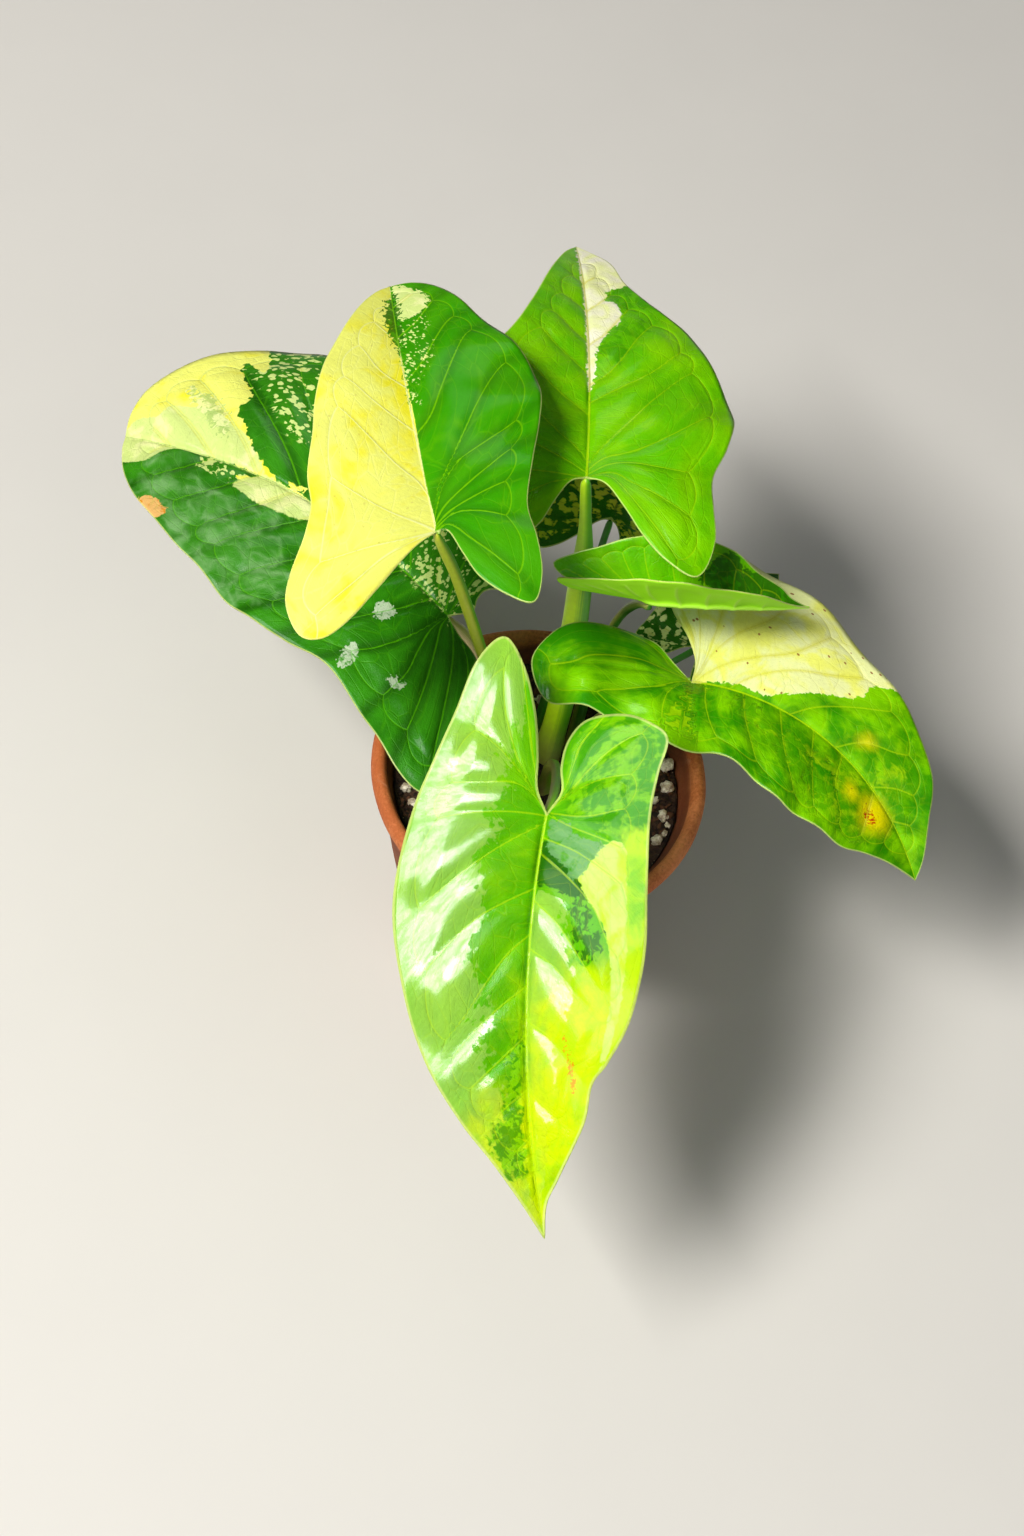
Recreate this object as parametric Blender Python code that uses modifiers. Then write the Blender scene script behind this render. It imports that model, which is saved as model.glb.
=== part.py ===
"""Variegated arrowhead plant in a plain clay pot.

The origin is the middle of the pot's flat base, with +Z up. The front leaf hangs
over the rim towards -Y. Lengths in the tables are millimetres and angles are
degrees; MM turns them into the metres of the scene.
"""

import math
import random

import bmesh
import bpy
from mathutils import Matrix, Vector

MM = 0.001

# Pot: a turned clay shell with a rolled lip.
POT_HEIGHT = 112
RIM_RADIUS = 65
LIP_HEIGHT = 9
LIP_WIDTH = 6
LIP_START = 200
LIP_END = -40
LIP_STEPS = 7
WALL = 5.2
WALL_RINGS = (40, 75)
BASE_RADIUS = 41
BASE_CHAMFER = 1.5
FLOOR = 8
FLOOR_FILLET = 3
POT_SIDES = 56
DRAIN_RADIUS = 4.5
DRAIN_CIRCLE = 19
DRAINS = 3
HOLE_SIDES = 18

# Soil: fills the pot, with white grit standing out of its uneven top.
SOIL_TOP = 99
SOIL_SWELL = 1.2
SOIL_RINGS = (10, 20, 29, 37, 44, 50, 54.5)
SOIL_SIDES = 48
GRIT_GRAINS = 32
GRIT_SIZES = (2.0, 3.4)
GRIT_STRETCH = (0.8, 1.15)
GRIT_DENT = 0.09
GRIT_LIFT = 0.2
GRIT_MARGIN = 3
GRIT_SPACING = 7
GRIT_SEED = 11
GAP = 0.3

# Stems: each one stands in a plain round hole in the soil.
STEM_FOOT = 74
STEM_CLEAR = 4
STEM_STEPS = 18
STALK_SHARE = 0.6
SHEATH_FADE = 0.25
HOLE_PLAY = 0.35
HOLE_TOP = 12

# Blades: thin waved sheets, as a row of stations from tip to lobe.
BLADE_THICKNESS = 0.8
TIP_STATIONS = 13
LOBE_STATIONS = 6
OUTER_STRIPS = 3
INNER_STRIPS = 2
MARGIN_STEPS = 12
RIB_INSET = 0.35
WELD = 0.02

LEAF_DEFAULTS = {
    "pitch": 0, "roll": 0, "arch": 20, "lobe_arch": 15, "side": 0, "lobe_lean": 0,
    "fold": (16, 16), "curl": (-20, -20), "wave": (1.0, 1.0), "waves": 4, "phase": (0.1, 0.6),
    "stem_radius": (3.2, 1.5), "sheath": 0.35,
}

# Each leaf: where the stem meets the blade, the way the blade points, how it bends,
# and the flat outline of each half, from beside the tip round the lobe to the sinus.
LEAVES = {
    "front_leaf": {
        "at": (5, -67, 190), "heading": -87, "pitch": -20, "arch": 12, "lobe_arch": 8, "side": -22,
        "length": 149, "half_width": 50, "fold": (32, 12), "curl": (-26, -20), "wave": (1.4, 1.4),
        "left": ((-3, 137), (-9, 128), (-20, 110), (-24, 96), (-30, 88), (-38, 72), (-42, 50),
                 (-41, 25), (-38, -2), (-38, -18)),
        "left_lobe": (-39, -31),
        "left_sinus": ((-32, -36), (-22, -38), (-9, -35), (-3, -27), (-2, -17), (-4, -8)),
        "right": ((7, 134), (15, 120), (24, 107), (35, 88), (43, 66), (49, 38), (47, 10),
                  (43, -10), (39, -28), (35, -48)),
        "right_lobe": (27, -59),
        "right_sinus": ((18, -50), (11, -35), (7, -20), (5, -8)),
        "stem": ((3, -2), (3.5, -7, 125), (5, -24, 152), (6, -42, 170), (6, -54, 180)),
        "colour": (0.28, 0.62, 0.02),
    },
    "right_leaf": {
        "at": (46, 14, 172), "heading": 11.6, "pitch": -4, "arch": 28, "side": 67, "lobe_lean": -1,
        "length": 119, "half_width": 38, "fold": (18, 16), "curl": (-16, -16), "wave": (1.2, 1.2),
        "left": ((-5, 113), (-13, 101), (-23, 89), (-32, 71), (-38, 53), (-46, 38), (-52, 25),
                 (-58, 12)),
        "left_lobe": (-58, -2),
        "left_sinus": ((-46, -10), (-30, -8), (-18, -2), (-8, 1)),
        "right": ((10, 109), (20, 100), (28, 92), (34, 76), (38, 60), (39, 46), (36, 28),
                  (33, 10), (34, -6), (27, -21), (20, -38), (13, -54)),
        "right_lobe": (-2, -60),
        "right_sinus": ((-14, -52), (-19, -40), (-19, -26), (-16, -14), (-7, -6)),
        "stem": ((13, 5.5), (14, 12, 130), (28, 16, 150), (38, 14.5, 164)),
        "colour": (0.62, 0.60, 0.06),
    },
    "folded_leaf": {
        "at": (23, 19, 208), "heading": 8, "pitch": 4, "roll": 14, "arch": 16, "lobe_arch": -10,
        "side": -28, "length": 63, "half_width": 25, "fold": (62, 62), "curl": (0, 0),
        "wave": (0.4, 0.4),
        "left": ((-4, 54), (-8, 49), (-14, 38), (-21, 29), (-24, 20), (-26, 8), (-25, -3),
                 (-21, -15), (-15, -29)),
        "left_lobe": (-10, -37),
        "left_sinus": ((-5, -31), (-3.5, -20), (-2, -8)),
        "right": ((3, 53), (8, 44), (13, 35), (17, 21), (21, 8), (21, -4), (17, -19)),
        "right_lobe": (12, -35),
        "right_sinus": ((5, -30), (3.5, -20), (2, -8)),
        "stem": ((9.5, 19.5), (10, 34, 132), (13, 38, 158), (16, 34, 178), (20, 26, 196)),
        "colour": (0.22, 0.50, 0.03),
    },
    "back_leaf": {
        "at": (-10, 45, 236), "heading": 98, "pitch": -5, "arch": 26, "side": -4,
        "length": 160, "half_width": 50, "curl": (-20, -26), "wave": (1.2, 1.6),
        "left": ((-6, 148), (-13, 127), (-21, 99), (-28, 78), (-37, 60), (-45, 44), (-50, 26),
                 (-50, 8), (-47, -8), (-44, -24)),
        "left_lobe": (-36, -40),
        "left_sinus": ((-26, -37), (-17, -28), (-11, -14), (-6, -4)),
        "right": ((5, 150), (12, 136), (16, 118), (23, 103), (30, 94), (38, 84), (44, 68),
                  (51, 50), (54, 36), (51, 20), (46, 6), (46, -10), (47, -26)),
        "right_lobe": (41, -41),
        "right_sinus": ((30, -36), (21, -26), (14, -14), (7, -3)),
        "stem": ((1, 13), (1.5, 20, 128), (0, 31, 152), (-2, 37, 175), (-5, 41, 205)),
        "colour": (0.14, 0.40, 0.02), "stem_radius": (5.6, 1.9), "sheath": 0.66,
    },
    "yellow_leaf": {
        "at": (-55, -13, 262), "heading": 113, "pitch": -3, "arch": 18, "side": 8,
        "length": 134, "half_width": 44, "fold": (14, 16), "curl": (-16, -20), "wave": (1.0, 1.4),
        "left": ((-6, 127), (-13, 115), (-22, 95), (-29, 78), (-34, 60), (-37, 43), (-41, 26),
                 (-42, 12), (-46, 0), (-53, -14), (-57, -28)),
        "left_lobe": (-54, -39),
        "left_sinus": ((-46, -41), (-36, -35), (-25, -24), (-16, -14), (-8, -6)),
        "right": ((8, 134), (16, 130), (24, 120), (31, 107), (40, 91), (46, 76), (47, 60),
                  (44, 44), (38, 24), (33, 6), (33, -10), (32, -24)),
        "right_lobe": (27, -35),
        "right_sinus": ((19, -31), (11, -22), (7, -11), (4, -1)),
        "stem": ((-9, 3), (-15, 0, 130), (-30, -4, 180), (-45, -9, 232)),
        "colour": (0.80, 0.72, 0.10),
    },
    "left_leaf": {
        "at": (-47, 11, 180), "heading": 140, "pitch": -1, "roll": -4, "arch": 22,
        "lobe_arch": 26, "side": -29, "length": 160, "half_width": 58, "fold": (6, 16),
        "curl": (-14, -24), "wave": (1.6, 1.6),
        "left": ((-8, 157), (-19, 150), (-29, 139), (-37, 125), (-45, 106), (-53, 83), (-58, 62),
                 (-59, 44), (-56, 30), (-53, 14), (-52, -4), (-54, -24), (-56, -42)),
        "left_lobe": (-52, -56),
        "left_sinus": ((-40, -56), (-24, -45), (-10, -33), (-3, -21), (-2, -9)),
        "right": ((10, 162), (22, 161), (33, 156), (44, 148), (54, 138), (64, 127), (68, 112),
                  (66, 92), (61, 70), (55, 50), (49, 32), (43, 15)),
        "right_lobe": (34, -2),
        "right_sinus": ((26, -4), (18, 0), (13, -1), (8, -4)),
        "stem": ((-11, 11.5), (-17, 12, 122), (-29, 14, 148), (-38, 13, 166)),
        "colour": (0.05, 0.20, 0.02),
    },
}

# Low leaves that the big ones mostly hide share one plain outline, scaled to each.
LOW_LEAVES = {
    "low_back_leaf": {
        "at": (3, 84, 165), "heading": 82, "pitch": -8, "arch": 26, "length": 76, "half_width": 29,
        "stem": ((-5, 24), (-3, 44, 128), (1, 68, 150)),
        "colour": (0.30, 0.33, 0.04), "stem_radius": (2.6, 1.3),
    },
    "low_right_leaf": {
        "at": (47, 54, 138), "heading": 62, "pitch": 2, "arch": 22, "length": 58, "half_width": 22,
        "stem": ((18, 14), (22, 24, 115), (35, 43, 130)),
        "colour": (0.20, 0.28, 0.08), "stem_radius": (2.6, 1.3),
    },
}
PLAIN_HALF = ((0.24, 0.84), (0.55, 0.60), (0.82, 0.36), (0.98, 0.12), (0.98, -0.08), (0.92, -0.24))
PLAIN_LOBE = (0.74, -0.38)
PLAIN_SINUS = ((0.50, -0.32), (0.30, -0.20), (0.15, -0.07))

# A rolled young leaf stands by the front stem.
SHOOT_FOOT = (-5, -5)
SHOOT_TOP = (-3, -6, 131)
SHOOT_RADIUS = 2.6
SHOOT_TAPER = (1, 1, 1, 1, 1, 0.95, 0.85, 0.7, 0.5, 0.2)

CLAY = ((0.42, 0.16, 0.07), 0.8)
SOIL = ((0.035, 0.022, 0.014), 0.95)
STEM_GREEN = ((0.25, 0.42, 0.04), 0.45)


def clear_scene():
    for obj in list(bpy.data.objects):
        bpy.data.objects.remove(obj, do_unlink=True)


def new_collection(name):
    collection = bpy.data.collections.new(name)
    bpy.context.scene.collection.children.link(collection)
    return collection


def material(name, colour, roughness):
    made = bpy.data.materials.new(name)
    made.use_nodes = True
    shader = made.node_tree.nodes["Principled BSDF"]
    shader.inputs["Base Color"].default_value = (*colour, 1)
    shader.inputs["Roughness"].default_value = roughness
    shader.inputs["Metallic"].default_value = 0
    return made


def add_object(name, mesh, collection, finish=None):
    obj = bpy.data.objects.new(name, mesh)
    collection.objects.link(obj)
    if finish:
        mesh.materials.clear()
        mesh.materials.append(finish)
    return obj


def mark_cutter(obj):
    obj.hide_render = True
    obj.display_type = "WIRE"


def mesh_of(obj):
    """The mesh of an object with its modifiers or bevel applied."""
    graph = bpy.context.evaluated_depsgraph_get()
    return bpy.data.meshes.new_from_object(obj.evaluated_get(graph))


def turned(name, profile, collection, sides=POT_SIDES):
    """A solid turned about Z from (radius, height) points, outer side downwards."""
    mesh = bpy.data.meshes.new(name)
    points = [(radius * MM, 0, height * MM) for radius, height in profile]
    mesh.from_pydata(points, [(k, k + 1) for k in range(len(points) - 1)], [])
    obj = add_object(name, mesh, collection)
    screw = obj.modifiers.new("Turn", "SCREW")
    screw.steps = sides
    screw.render_steps = sides
    screw.use_merge_vertices = True
    screw.merge_threshold = 0.00005
    return obj


def cylinder(name, place, radius, bottom, top, collection):
    mesh = bpy.data.meshes.new(name)
    bm = bmesh.new()
    bmesh.ops.create_cone(bm, cap_ends=True, segments=HOLE_SIDES, radius1=radius * MM,
                          radius2=radius * MM, depth=(top - bottom) * MM)
    bm.to_mesh(mesh)
    bm.free()
    obj = add_object(name, mesh, collection)
    obj.location = (place[0] * MM, place[1] * MM, (top + bottom) / 2 * MM)
    return obj


def boolean(obj, operation, collection):
    cut = obj.modifiers.new(operation.title(), "BOOLEAN")
    cut.operation = operation
    cut.operand_type = "COLLECTION"
    cut.collection = collection
    cut.solver = "EXACT"


def wall_radius(height):
    """Radius of the pot's outer wall under the lip."""
    shoulder = RIM_RADIUS - LIP_WIDTH / 2
    return BASE_RADIUS + (shoulder - BASE_RADIUS) * height / (POT_HEIGHT - LIP_HEIGHT)


def lip_profile():
    """The rolled lip, as an oval arc from its inner side over the top and outwards."""
    middle = RIM_RADIUS - LIP_WIDTH / 2
    half_height = LIP_HEIGHT / 2
    points = []
    for step in range(LIP_STEPS):
        turn = math.radians(LIP_START + (LIP_END - LIP_START) * step / (LIP_STEPS - 1))
        points.append((middle + LIP_WIDTH / 2 * math.cos(turn),
                       POT_HEIGHT - half_height + half_height * math.sin(turn)))
    return points


def inner_radius(height):
    """Radius of the pot's inner wall."""
    return wall_radius(height) - WALL


def make_pot(parts, cutters):
    under_lip = POT_HEIGHT - LIP_HEIGHT - LIP_WIDTH
    profile = [(0, FLOOR), (inner_radius(FLOOR) - FLOOR_FILLET, FLOOR)]
    profile += [(inner_radius(h), h) for h in (FLOOR + FLOOR_FILLET, *WALL_RINGS, under_lip)]
    profile += lip_profile()
    profile += [(wall_radius(h), h) for h in (*WALL_RINGS[::-1], BASE_CHAMFER)]
    profile += [(BASE_RADIUS - BASE_CHAMFER, 0), (0, 0)]
    pot = turned("pot", profile, parts)
    pot.data.materials.append(material("clay", *CLAY))
    holes = bpy.data.collections.new("drains")
    cutters.children.link(holes)
    for k in range(DRAINS):
        turn = math.radians(90 + 360 * k / DRAINS)
        place = (DRAIN_CIRCLE * math.cos(turn), DRAIN_CIRCLE * math.sin(turn))
        mark_cutter(cylinder(f"drain_{k + 1}", place, DRAIN_RADIUS, -FLOOR, 2 * FLOOR, holes))
    boolean(pot, "DIFFERENCE", holes)
    return pot


def soil_height(x, y):
    """Top of the soil at a place, in millimetres: low swells that flatten by the wall."""
    swell = math.sin(0.13 * x + 1.0) * math.cos(0.11 * y) + 0.6 * math.sin(0.21 * y - 0.17 * x)
    edge = 1 - (math.hypot(x, y) / RIM_RADIUS) ** 4
    return SOIL_TOP + SOIL_SWELL * swell * edge


def soil_blank(parts):
    """The soil's body with its uneven top, before grit and stem holes."""
    profile = [(0, SOIL_TOP)] + [(radius, SOIL_TOP) for radius in SOIL_RINGS]
    for height in (SOIL_TOP - 2 * GAP, *WALL_RINGS[::-1], FLOOR + FLOOR_FILLET):
        profile.append((inner_radius(height) - GAP, height))
    profile += [(inner_radius(FLOOR) - FLOOR_FILLET - GAP, FLOOR + GAP), (0, FLOOR + GAP)]
    blank = turned("soil_blank", profile, parts, SOIL_SIDES)
    mesh = mesh_of(blank)
    bpy.data.objects.remove(blank)
    for vert in mesh.vertices:
        if vert.co.z > (SOIL_TOP - GAP) * MM:
            vert.co.z = soil_height(vert.co.x / MM, vert.co.y / MM) * MM
    return add_object("soil", mesh, parts, material("soil", *SOIL))


def add_grain(name, place, rng, size, grit):
    """One dented grain, a little sunk into the soil."""
    mesh = bpy.data.meshes.new(name)
    bm = bmesh.new()
    bmesh.ops.create_icosphere(bm, subdivisions=2, radius=1)
    phase = rng.uniform(0, 2 * math.pi)
    for vert in bm.verts:
        vert.co *= 1 + GRIT_DENT * math.sin(5 * vert.co.x + 3 * vert.co.y + phase)
    stretch = [size * rng.uniform(*GRIT_STRETCH) * MM for _ in range(3)]
    spin = Matrix.Rotation(rng.uniform(0, math.pi), 4, "Z")
    bmesh.ops.scale(bm, vec=stretch, verts=bm.verts)
    bmesh.ops.transform(bm, matrix=spin, verts=bm.verts)
    bm.to_mesh(mesh)
    bm.free()
    grain = add_object(name, mesh, grit)
    height = soil_height(*place) + GRIT_LIFT * size
    grain.location = (place[0] * MM, place[1] * MM, height * MM)
    mark_cutter(grain)


def scatter_grit(feet, grit):
    """Grains over the soil's top, clear of the stems and of each other."""
    rng = random.Random(GRIT_SEED)
    placed = []
    while len(placed) < GRIT_GRAINS:
        reach = (SOIL_RINGS[-1] - GRIT_MARGIN) * math.sqrt(rng.random())
        turn = rng.uniform(0, 2 * math.pi)
        size = rng.uniform(*GRIT_SIZES)
        place = (reach * math.cos(turn), reach * math.sin(turn))
        near_stem = any(math.dist(place, foot) < radius + size + 5 * GAP for foot, radius in feet)
        near_grain = any(math.dist(place, other) < GRIT_SPACING for other in placed)
        if near_stem or near_grain:
            continue
        placed.append(place)
        add_grain(f"grain_{len(placed)}", place, rng, size, grit)


def make_soil(parts, cutters, feet):
    soil = soil_blank(parts)
    grit = bpy.data.collections.new("grit")
    cutters.children.link(grit)
    scatter_grit(feet, grit)
    boolean(soil, "UNION", grit)
    holes = bpy.data.collections.new("stem_holes")
    cutters.children.link(holes)
    for k, (foot, radius) in enumerate(feet):
        hole = cylinder(f"hole_{k + 1}", foot, radius + HOLE_PLAY, STEM_FOOT - GAP,
                        SOIL_TOP + HOLE_TOP, holes)
        mark_cutter(hole)
    boolean(soil, "DIFFERENCE", holes)
    solid = mesh_of(soil)
    soil.modifiers.clear()
    soil.data = solid
    for grain in list(grit.objects):
        bpy.data.objects.remove(grain, do_unlink=True)
    return soil


def blade_axes(leaf):
    """Along the midrib, to the blade's right, and up through its face, at the stem."""
    heading, pitch, roll = (math.radians(leaf[key]) for key in ("heading", "pitch", "roll"))
    along = Vector((math.cos(pitch) * math.cos(heading), math.cos(pitch) * math.sin(heading),
                    math.sin(pitch)))
    level_up = Vector((-math.sin(pitch) * math.cos(heading),
                       -math.sin(pitch) * math.sin(heading), math.cos(pitch)))
    level_right = along.cross(level_up)
    right = level_right * math.cos(roll) + level_up * math.sin(roll)
    up = level_up * math.cos(roll) - level_right * math.sin(roll)
    return along, right, up


def bent(slope, turn, distance):
    """Reach and rise after a distance along a line that starts at a slope and turns evenly."""
    if abs(turn) < 1e-7:
        return distance * math.cos(slope), distance * math.sin(slope)
    end = slope + turn * distance
    return (math.sin(end) - math.sin(slope)) / turn, (math.cos(slope) - math.cos(end)) / turn


def blade_point(leaf, x, y):
    """Where the flat point (x, y) of a blade lies once the blade is bent and placed."""
    along, right, up = blade_axes(leaf)
    length, width = leaf["length"], leaf["half_width"]
    if y < 0:
        x -= leaf["lobe_lean"] * -y
    half = 1 if x > 0 else 0
    arch = math.radians(leaf["arch"] if y > 0 else leaf["lobe_arch"]) / length
    side = math.radians(leaf["side"]) / length if y > 0 else 0
    reach, drop = bent(0, arch, y)
    run, sway = bent(0, side, reach)
    if y < 0:
        sway += leaf["lobe_lean"] * -y
    ahead = math.cos(side * y) * along + math.sin(side * y) * right
    across = math.cos(side * y) * right - math.sin(side * y) * along
    face = math.sin(arch * y) * ahead + math.cos(arch * y) * up
    fold = math.radians(leaf["fold"][half])
    curl = math.radians(leaf["curl"][half]) / width
    out, rise = bent(fold, curl, abs(x))
    ripple = math.sin(2 * math.pi * (leaf["waves"] * y / length + leaf["phase"][half]))
    rise += leaf["wave"][half] * ripple * (x / width) ** 2
    spine = Vector(leaf["at"]) + run * along + sway * right - drop * up
    return spine + math.copysign(out, x) * across + rise * face


def smooth_line(points, steps):
    """Points of a smooth line through the given ones, a few for each stretch."""
    ends = [2 * Vector(points[0]) - Vector(points[1])]
    ends += [Vector(point) for point in points]
    ends += [2 * Vector(points[-1]) - Vector(points[-2])]
    line = []
    for k in range(1, len(ends) - 2):
        a, b, c, d = ends[k - 1:k + 3]
        for step in range(steps):
            t = step / steps
            line.append(0.5 * (2 * b + (c - a) * t + (2 * a - 5 * b + 4 * c - d) * t * t
                               + (3 * b - a - 3 * c + d) * t ** 3))
    line.append(ends[-2])
    return line


def even_points(line, count):
    """The given number of points, evenly spaced along a line."""
    run = [0.0]
    for a, b in zip(line, line[1:]):
        run.append(run[-1] + (b - a).length)
    points = []
    k = 0
    for step in range(count):
        goal = run[-1] * step / (count - 1)
        while k < len(line) - 2 and run[k + 1] < goal:
            k += 1
        share = (goal - run[k]) / (run[k + 1] - run[k])
        points.append(line[k].lerp(line[k + 1], min(1, max(0, share))))
    return points


def half_rows(leaf, half):
    """Rows of flat points across one half of a blade: its outer part, then its lobe's."""
    tip, root = (0, leaf["length"]), (0, 0)
    lobe = leaf[half + "_lobe"]
    outline = [tip, *leaf[half], lobe, *leaf[half + "_sinus"], root]
    margin = smooth_line(outline, MARGIN_STEPS)
    turn = (len(leaf[half]) + 1) * MARGIN_STEPS
    stations = TIP_STATIONS + LOBE_STATIONS
    outer_margin = even_points(margin[:turn + 1], stations)
    sinus_margin = even_points(margin[turn:][::-1], LOBE_STATIONS + 1)
    midrib = [Vector(tip).lerp(Vector(root), k / (TIP_STATIONS - 1)) for k in range(TIP_STATIONS)]
    rib = [a.lerp(b, RIB_INSET * min(1, 3 * k / LOBE_STATIONS))
           for k, (a, b) in enumerate(zip(sinus_margin, outer_margin[TIP_STATIONS - 1:]))]
    spine = midrib + rib[1:]
    outer = [[a.lerp(b, j / OUTER_STRIPS) for j in range(OUTER_STRIPS + 1)]
             for a, b in zip(spine, outer_margin)]
    inner = [[a.lerp(b, j / INNER_STRIPS) for j in range(INNER_STRIPS + 1)]
             for a, b in zip(rib, sinus_margin)]
    return outer, inner


def add_strip(bm, leaf, rows, flip):
    """A sheet of triangles through rows of flat points, bent to the blade's shape."""
    verts = [[bm.verts.new(blade_point(leaf, *point) * MM) for point in row] for row in rows]
    for low, high in zip(verts, verts[1:]):
        for a, b, c, d in zip(low, low[1:], high[1:], high):
            for corners in ((a, b, c), (a, c, d)):
                bm.faces.new(corners[::-1] if flip else corners)


def make_blade(name, leaf, parts):
    mesh = bpy.data.meshes.new(name)
    bm = bmesh.new()
    for half, flip in (("left", True), ("right", False)):
        outer, inner = half_rows(leaf, half)
        add_strip(bm, leaf, outer, flip)
        add_strip(bm, leaf, inner, not flip)
    bmesh.ops.remove_doubles(bm, verts=bm.verts, dist=WELD * MM)
    bmesh.ops.dissolve_degenerate(bm, edges=bm.edges, dist=WELD / 2 * MM)
    bm.to_mesh(mesh)
    bm.free()
    blade = add_object(name, mesh, parts, material(name, leaf["colour"], 0.35))
    mesh.shade_smooth()
    sheet = blade.modifiers.new("Thickness", "SOLIDIFY")
    sheet.thickness = BLADE_THICKNESS * MM
    sheet.offset = 0
    sheet.use_even_offset = True
    return blade


def stem_path(leaf):
    """Middle line of a leaf's stem, from its foot in the soil to the blade's underside."""
    up = blade_axes(leaf)[2]
    foot, *through = leaf["stem"]
    arrive = (Vector(leaf["at"]) - Vector(through[-1])).normalized()
    tilt = math.sqrt(max(0, 1 - arrive.dot(up) ** 2))
    seat = BLADE_THICKNESS / 2 / math.cos(math.radians(max(leaf["fold"])))
    end = Vector(leaf["at"]) - (seat + GAP + leaf["stem_radius"][1] * tilt) * up
    buried = [Vector((*foot, STEM_FOOT)), Vector((*foot, SOIL_TOP))]
    route = [Vector((*foot, SOIL_TOP + STEM_CLEAR))] + [Vector(point) for point in through] + [end]
    return buried + even_points(smooth_line(route, 8), STEM_STEPS)


def stem_radius(leaf, share):
    """Radius along a stem: a sheathed lower part, then a slim stalk."""
    thick, slim = leaf["stem_radius"]
    sheath = leaf["sheath"]
    fade = min(1, max(0, (share - sheath) / SHEATH_FADE))
    fade = fade * fade * (3 - 2 * fade)
    sheath_top = slim + STALK_SHARE * (thick - slim)
    sheathed = thick + (sheath_top - thick) * min(1, share / sheath)
    return sheathed + (slim - sheathed) * fade


def make_tube(name, points, radii, parts, finish):
    curve = bpy.data.curves.new(name, "CURVE")
    curve.dimensions = "3D"
    curve.bevel_depth = 1
    curve.bevel_resolution = 2
    curve.use_fill_caps = True
    spline = curve.splines.new("POLY")
    spline.points.add(len(points) - 1)
    for target, point, radius in zip(spline.points, points, radii):
        target.co = (*(point * MM), 1)
        target.radius = radius * MM
    curve.materials.append(finish)
    obj = bpy.data.objects.new(name, curve)
    parts.objects.link(obj)
    return obj


def make_stem(name, leaf, parts, finish):
    points = stem_path(leaf)
    radii = [stem_radius(leaf, k / (len(points) - 1)) for k in range(len(points))]
    return make_tube(name, points, radii, parts, finish)


def make_shoot(parts, finish):
    foot, top = Vector((*SHOOT_FOOT, STEM_FOOT)), Vector(SHOOT_TOP)
    soil = Vector((*SHOOT_FOOT, SOIL_TOP + 1))
    steps = len(SHOOT_TAPER) - 2
    points = [foot, soil] + [soil.lerp(top, (k + 1) / steps) for k in range(steps)]
    radii = [SHOOT_RADIUS * share for share in SHOOT_TAPER]
    return make_tube("new_shoot", points, radii, parts, finish)


def all_leaves():
    leaves = {name: {**LEAF_DEFAULTS, **leaf} for name, leaf in LEAVES.items()}
    for name, low in LOW_LEAVES.items():
        leaf = {**LEAF_DEFAULTS, **low}
        width, length = leaf["half_width"], leaf["length"]
        for half, sign in (("left", -1), ("right", 1)):
            leaf[half] = [(sign * x * width, y * length) for x, y in PLAIN_HALF]
            leaf[half + "_lobe"] = (sign * PLAIN_LOBE[0] * width, PLAIN_LOBE[1] * length)
            leaf[half + "_sinus"] = [(sign * x * width, y * length) for x, y in PLAIN_SINUS]
        leaves[name] = leaf
    return leaves


def main():
    clear_scene()
    parts = new_collection("arrowhead_plant")
    cutters = new_collection("cutters")
    leaves = all_leaves()
    green = material("stem_green", *STEM_GREEN)
    make_pot(parts, cutters)
    feet = [(leaf["stem"][0], leaf["stem_radius"][0]) for leaf in leaves.values()]
    feet.append((SHOOT_FOOT, SHOOT_RADIUS))
    make_soil(parts, cutters, feet)
    for name, leaf in leaves.items():
        make_blade(name, leaf, parts)
        make_stem(name.replace("_leaf", "_stem"), leaf, parts, green)
    make_shoot(parts, green)


main()
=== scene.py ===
"""Visual model of a potted arrowhead plant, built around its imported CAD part.

Lengths in the tables are millimetres and angles are degrees; MM turns them into
the metres of the scene. A blade is drawn flat, with x across it to its own right
and y along its midrib, and blade_points bends it into place. Flat points stand in
the tables as x, y, x, y and so on.
"""

import math
import random
from typing import NamedTuple

import bmesh
import bpy
import numpy as np
from bpy.props import FloatProperty, FloatVectorProperty, IntProperty, PointerProperty
from bpy.types import Operator, Panel, PropertyGroup
from mathutils import Matrix, Vector, noise


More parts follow.
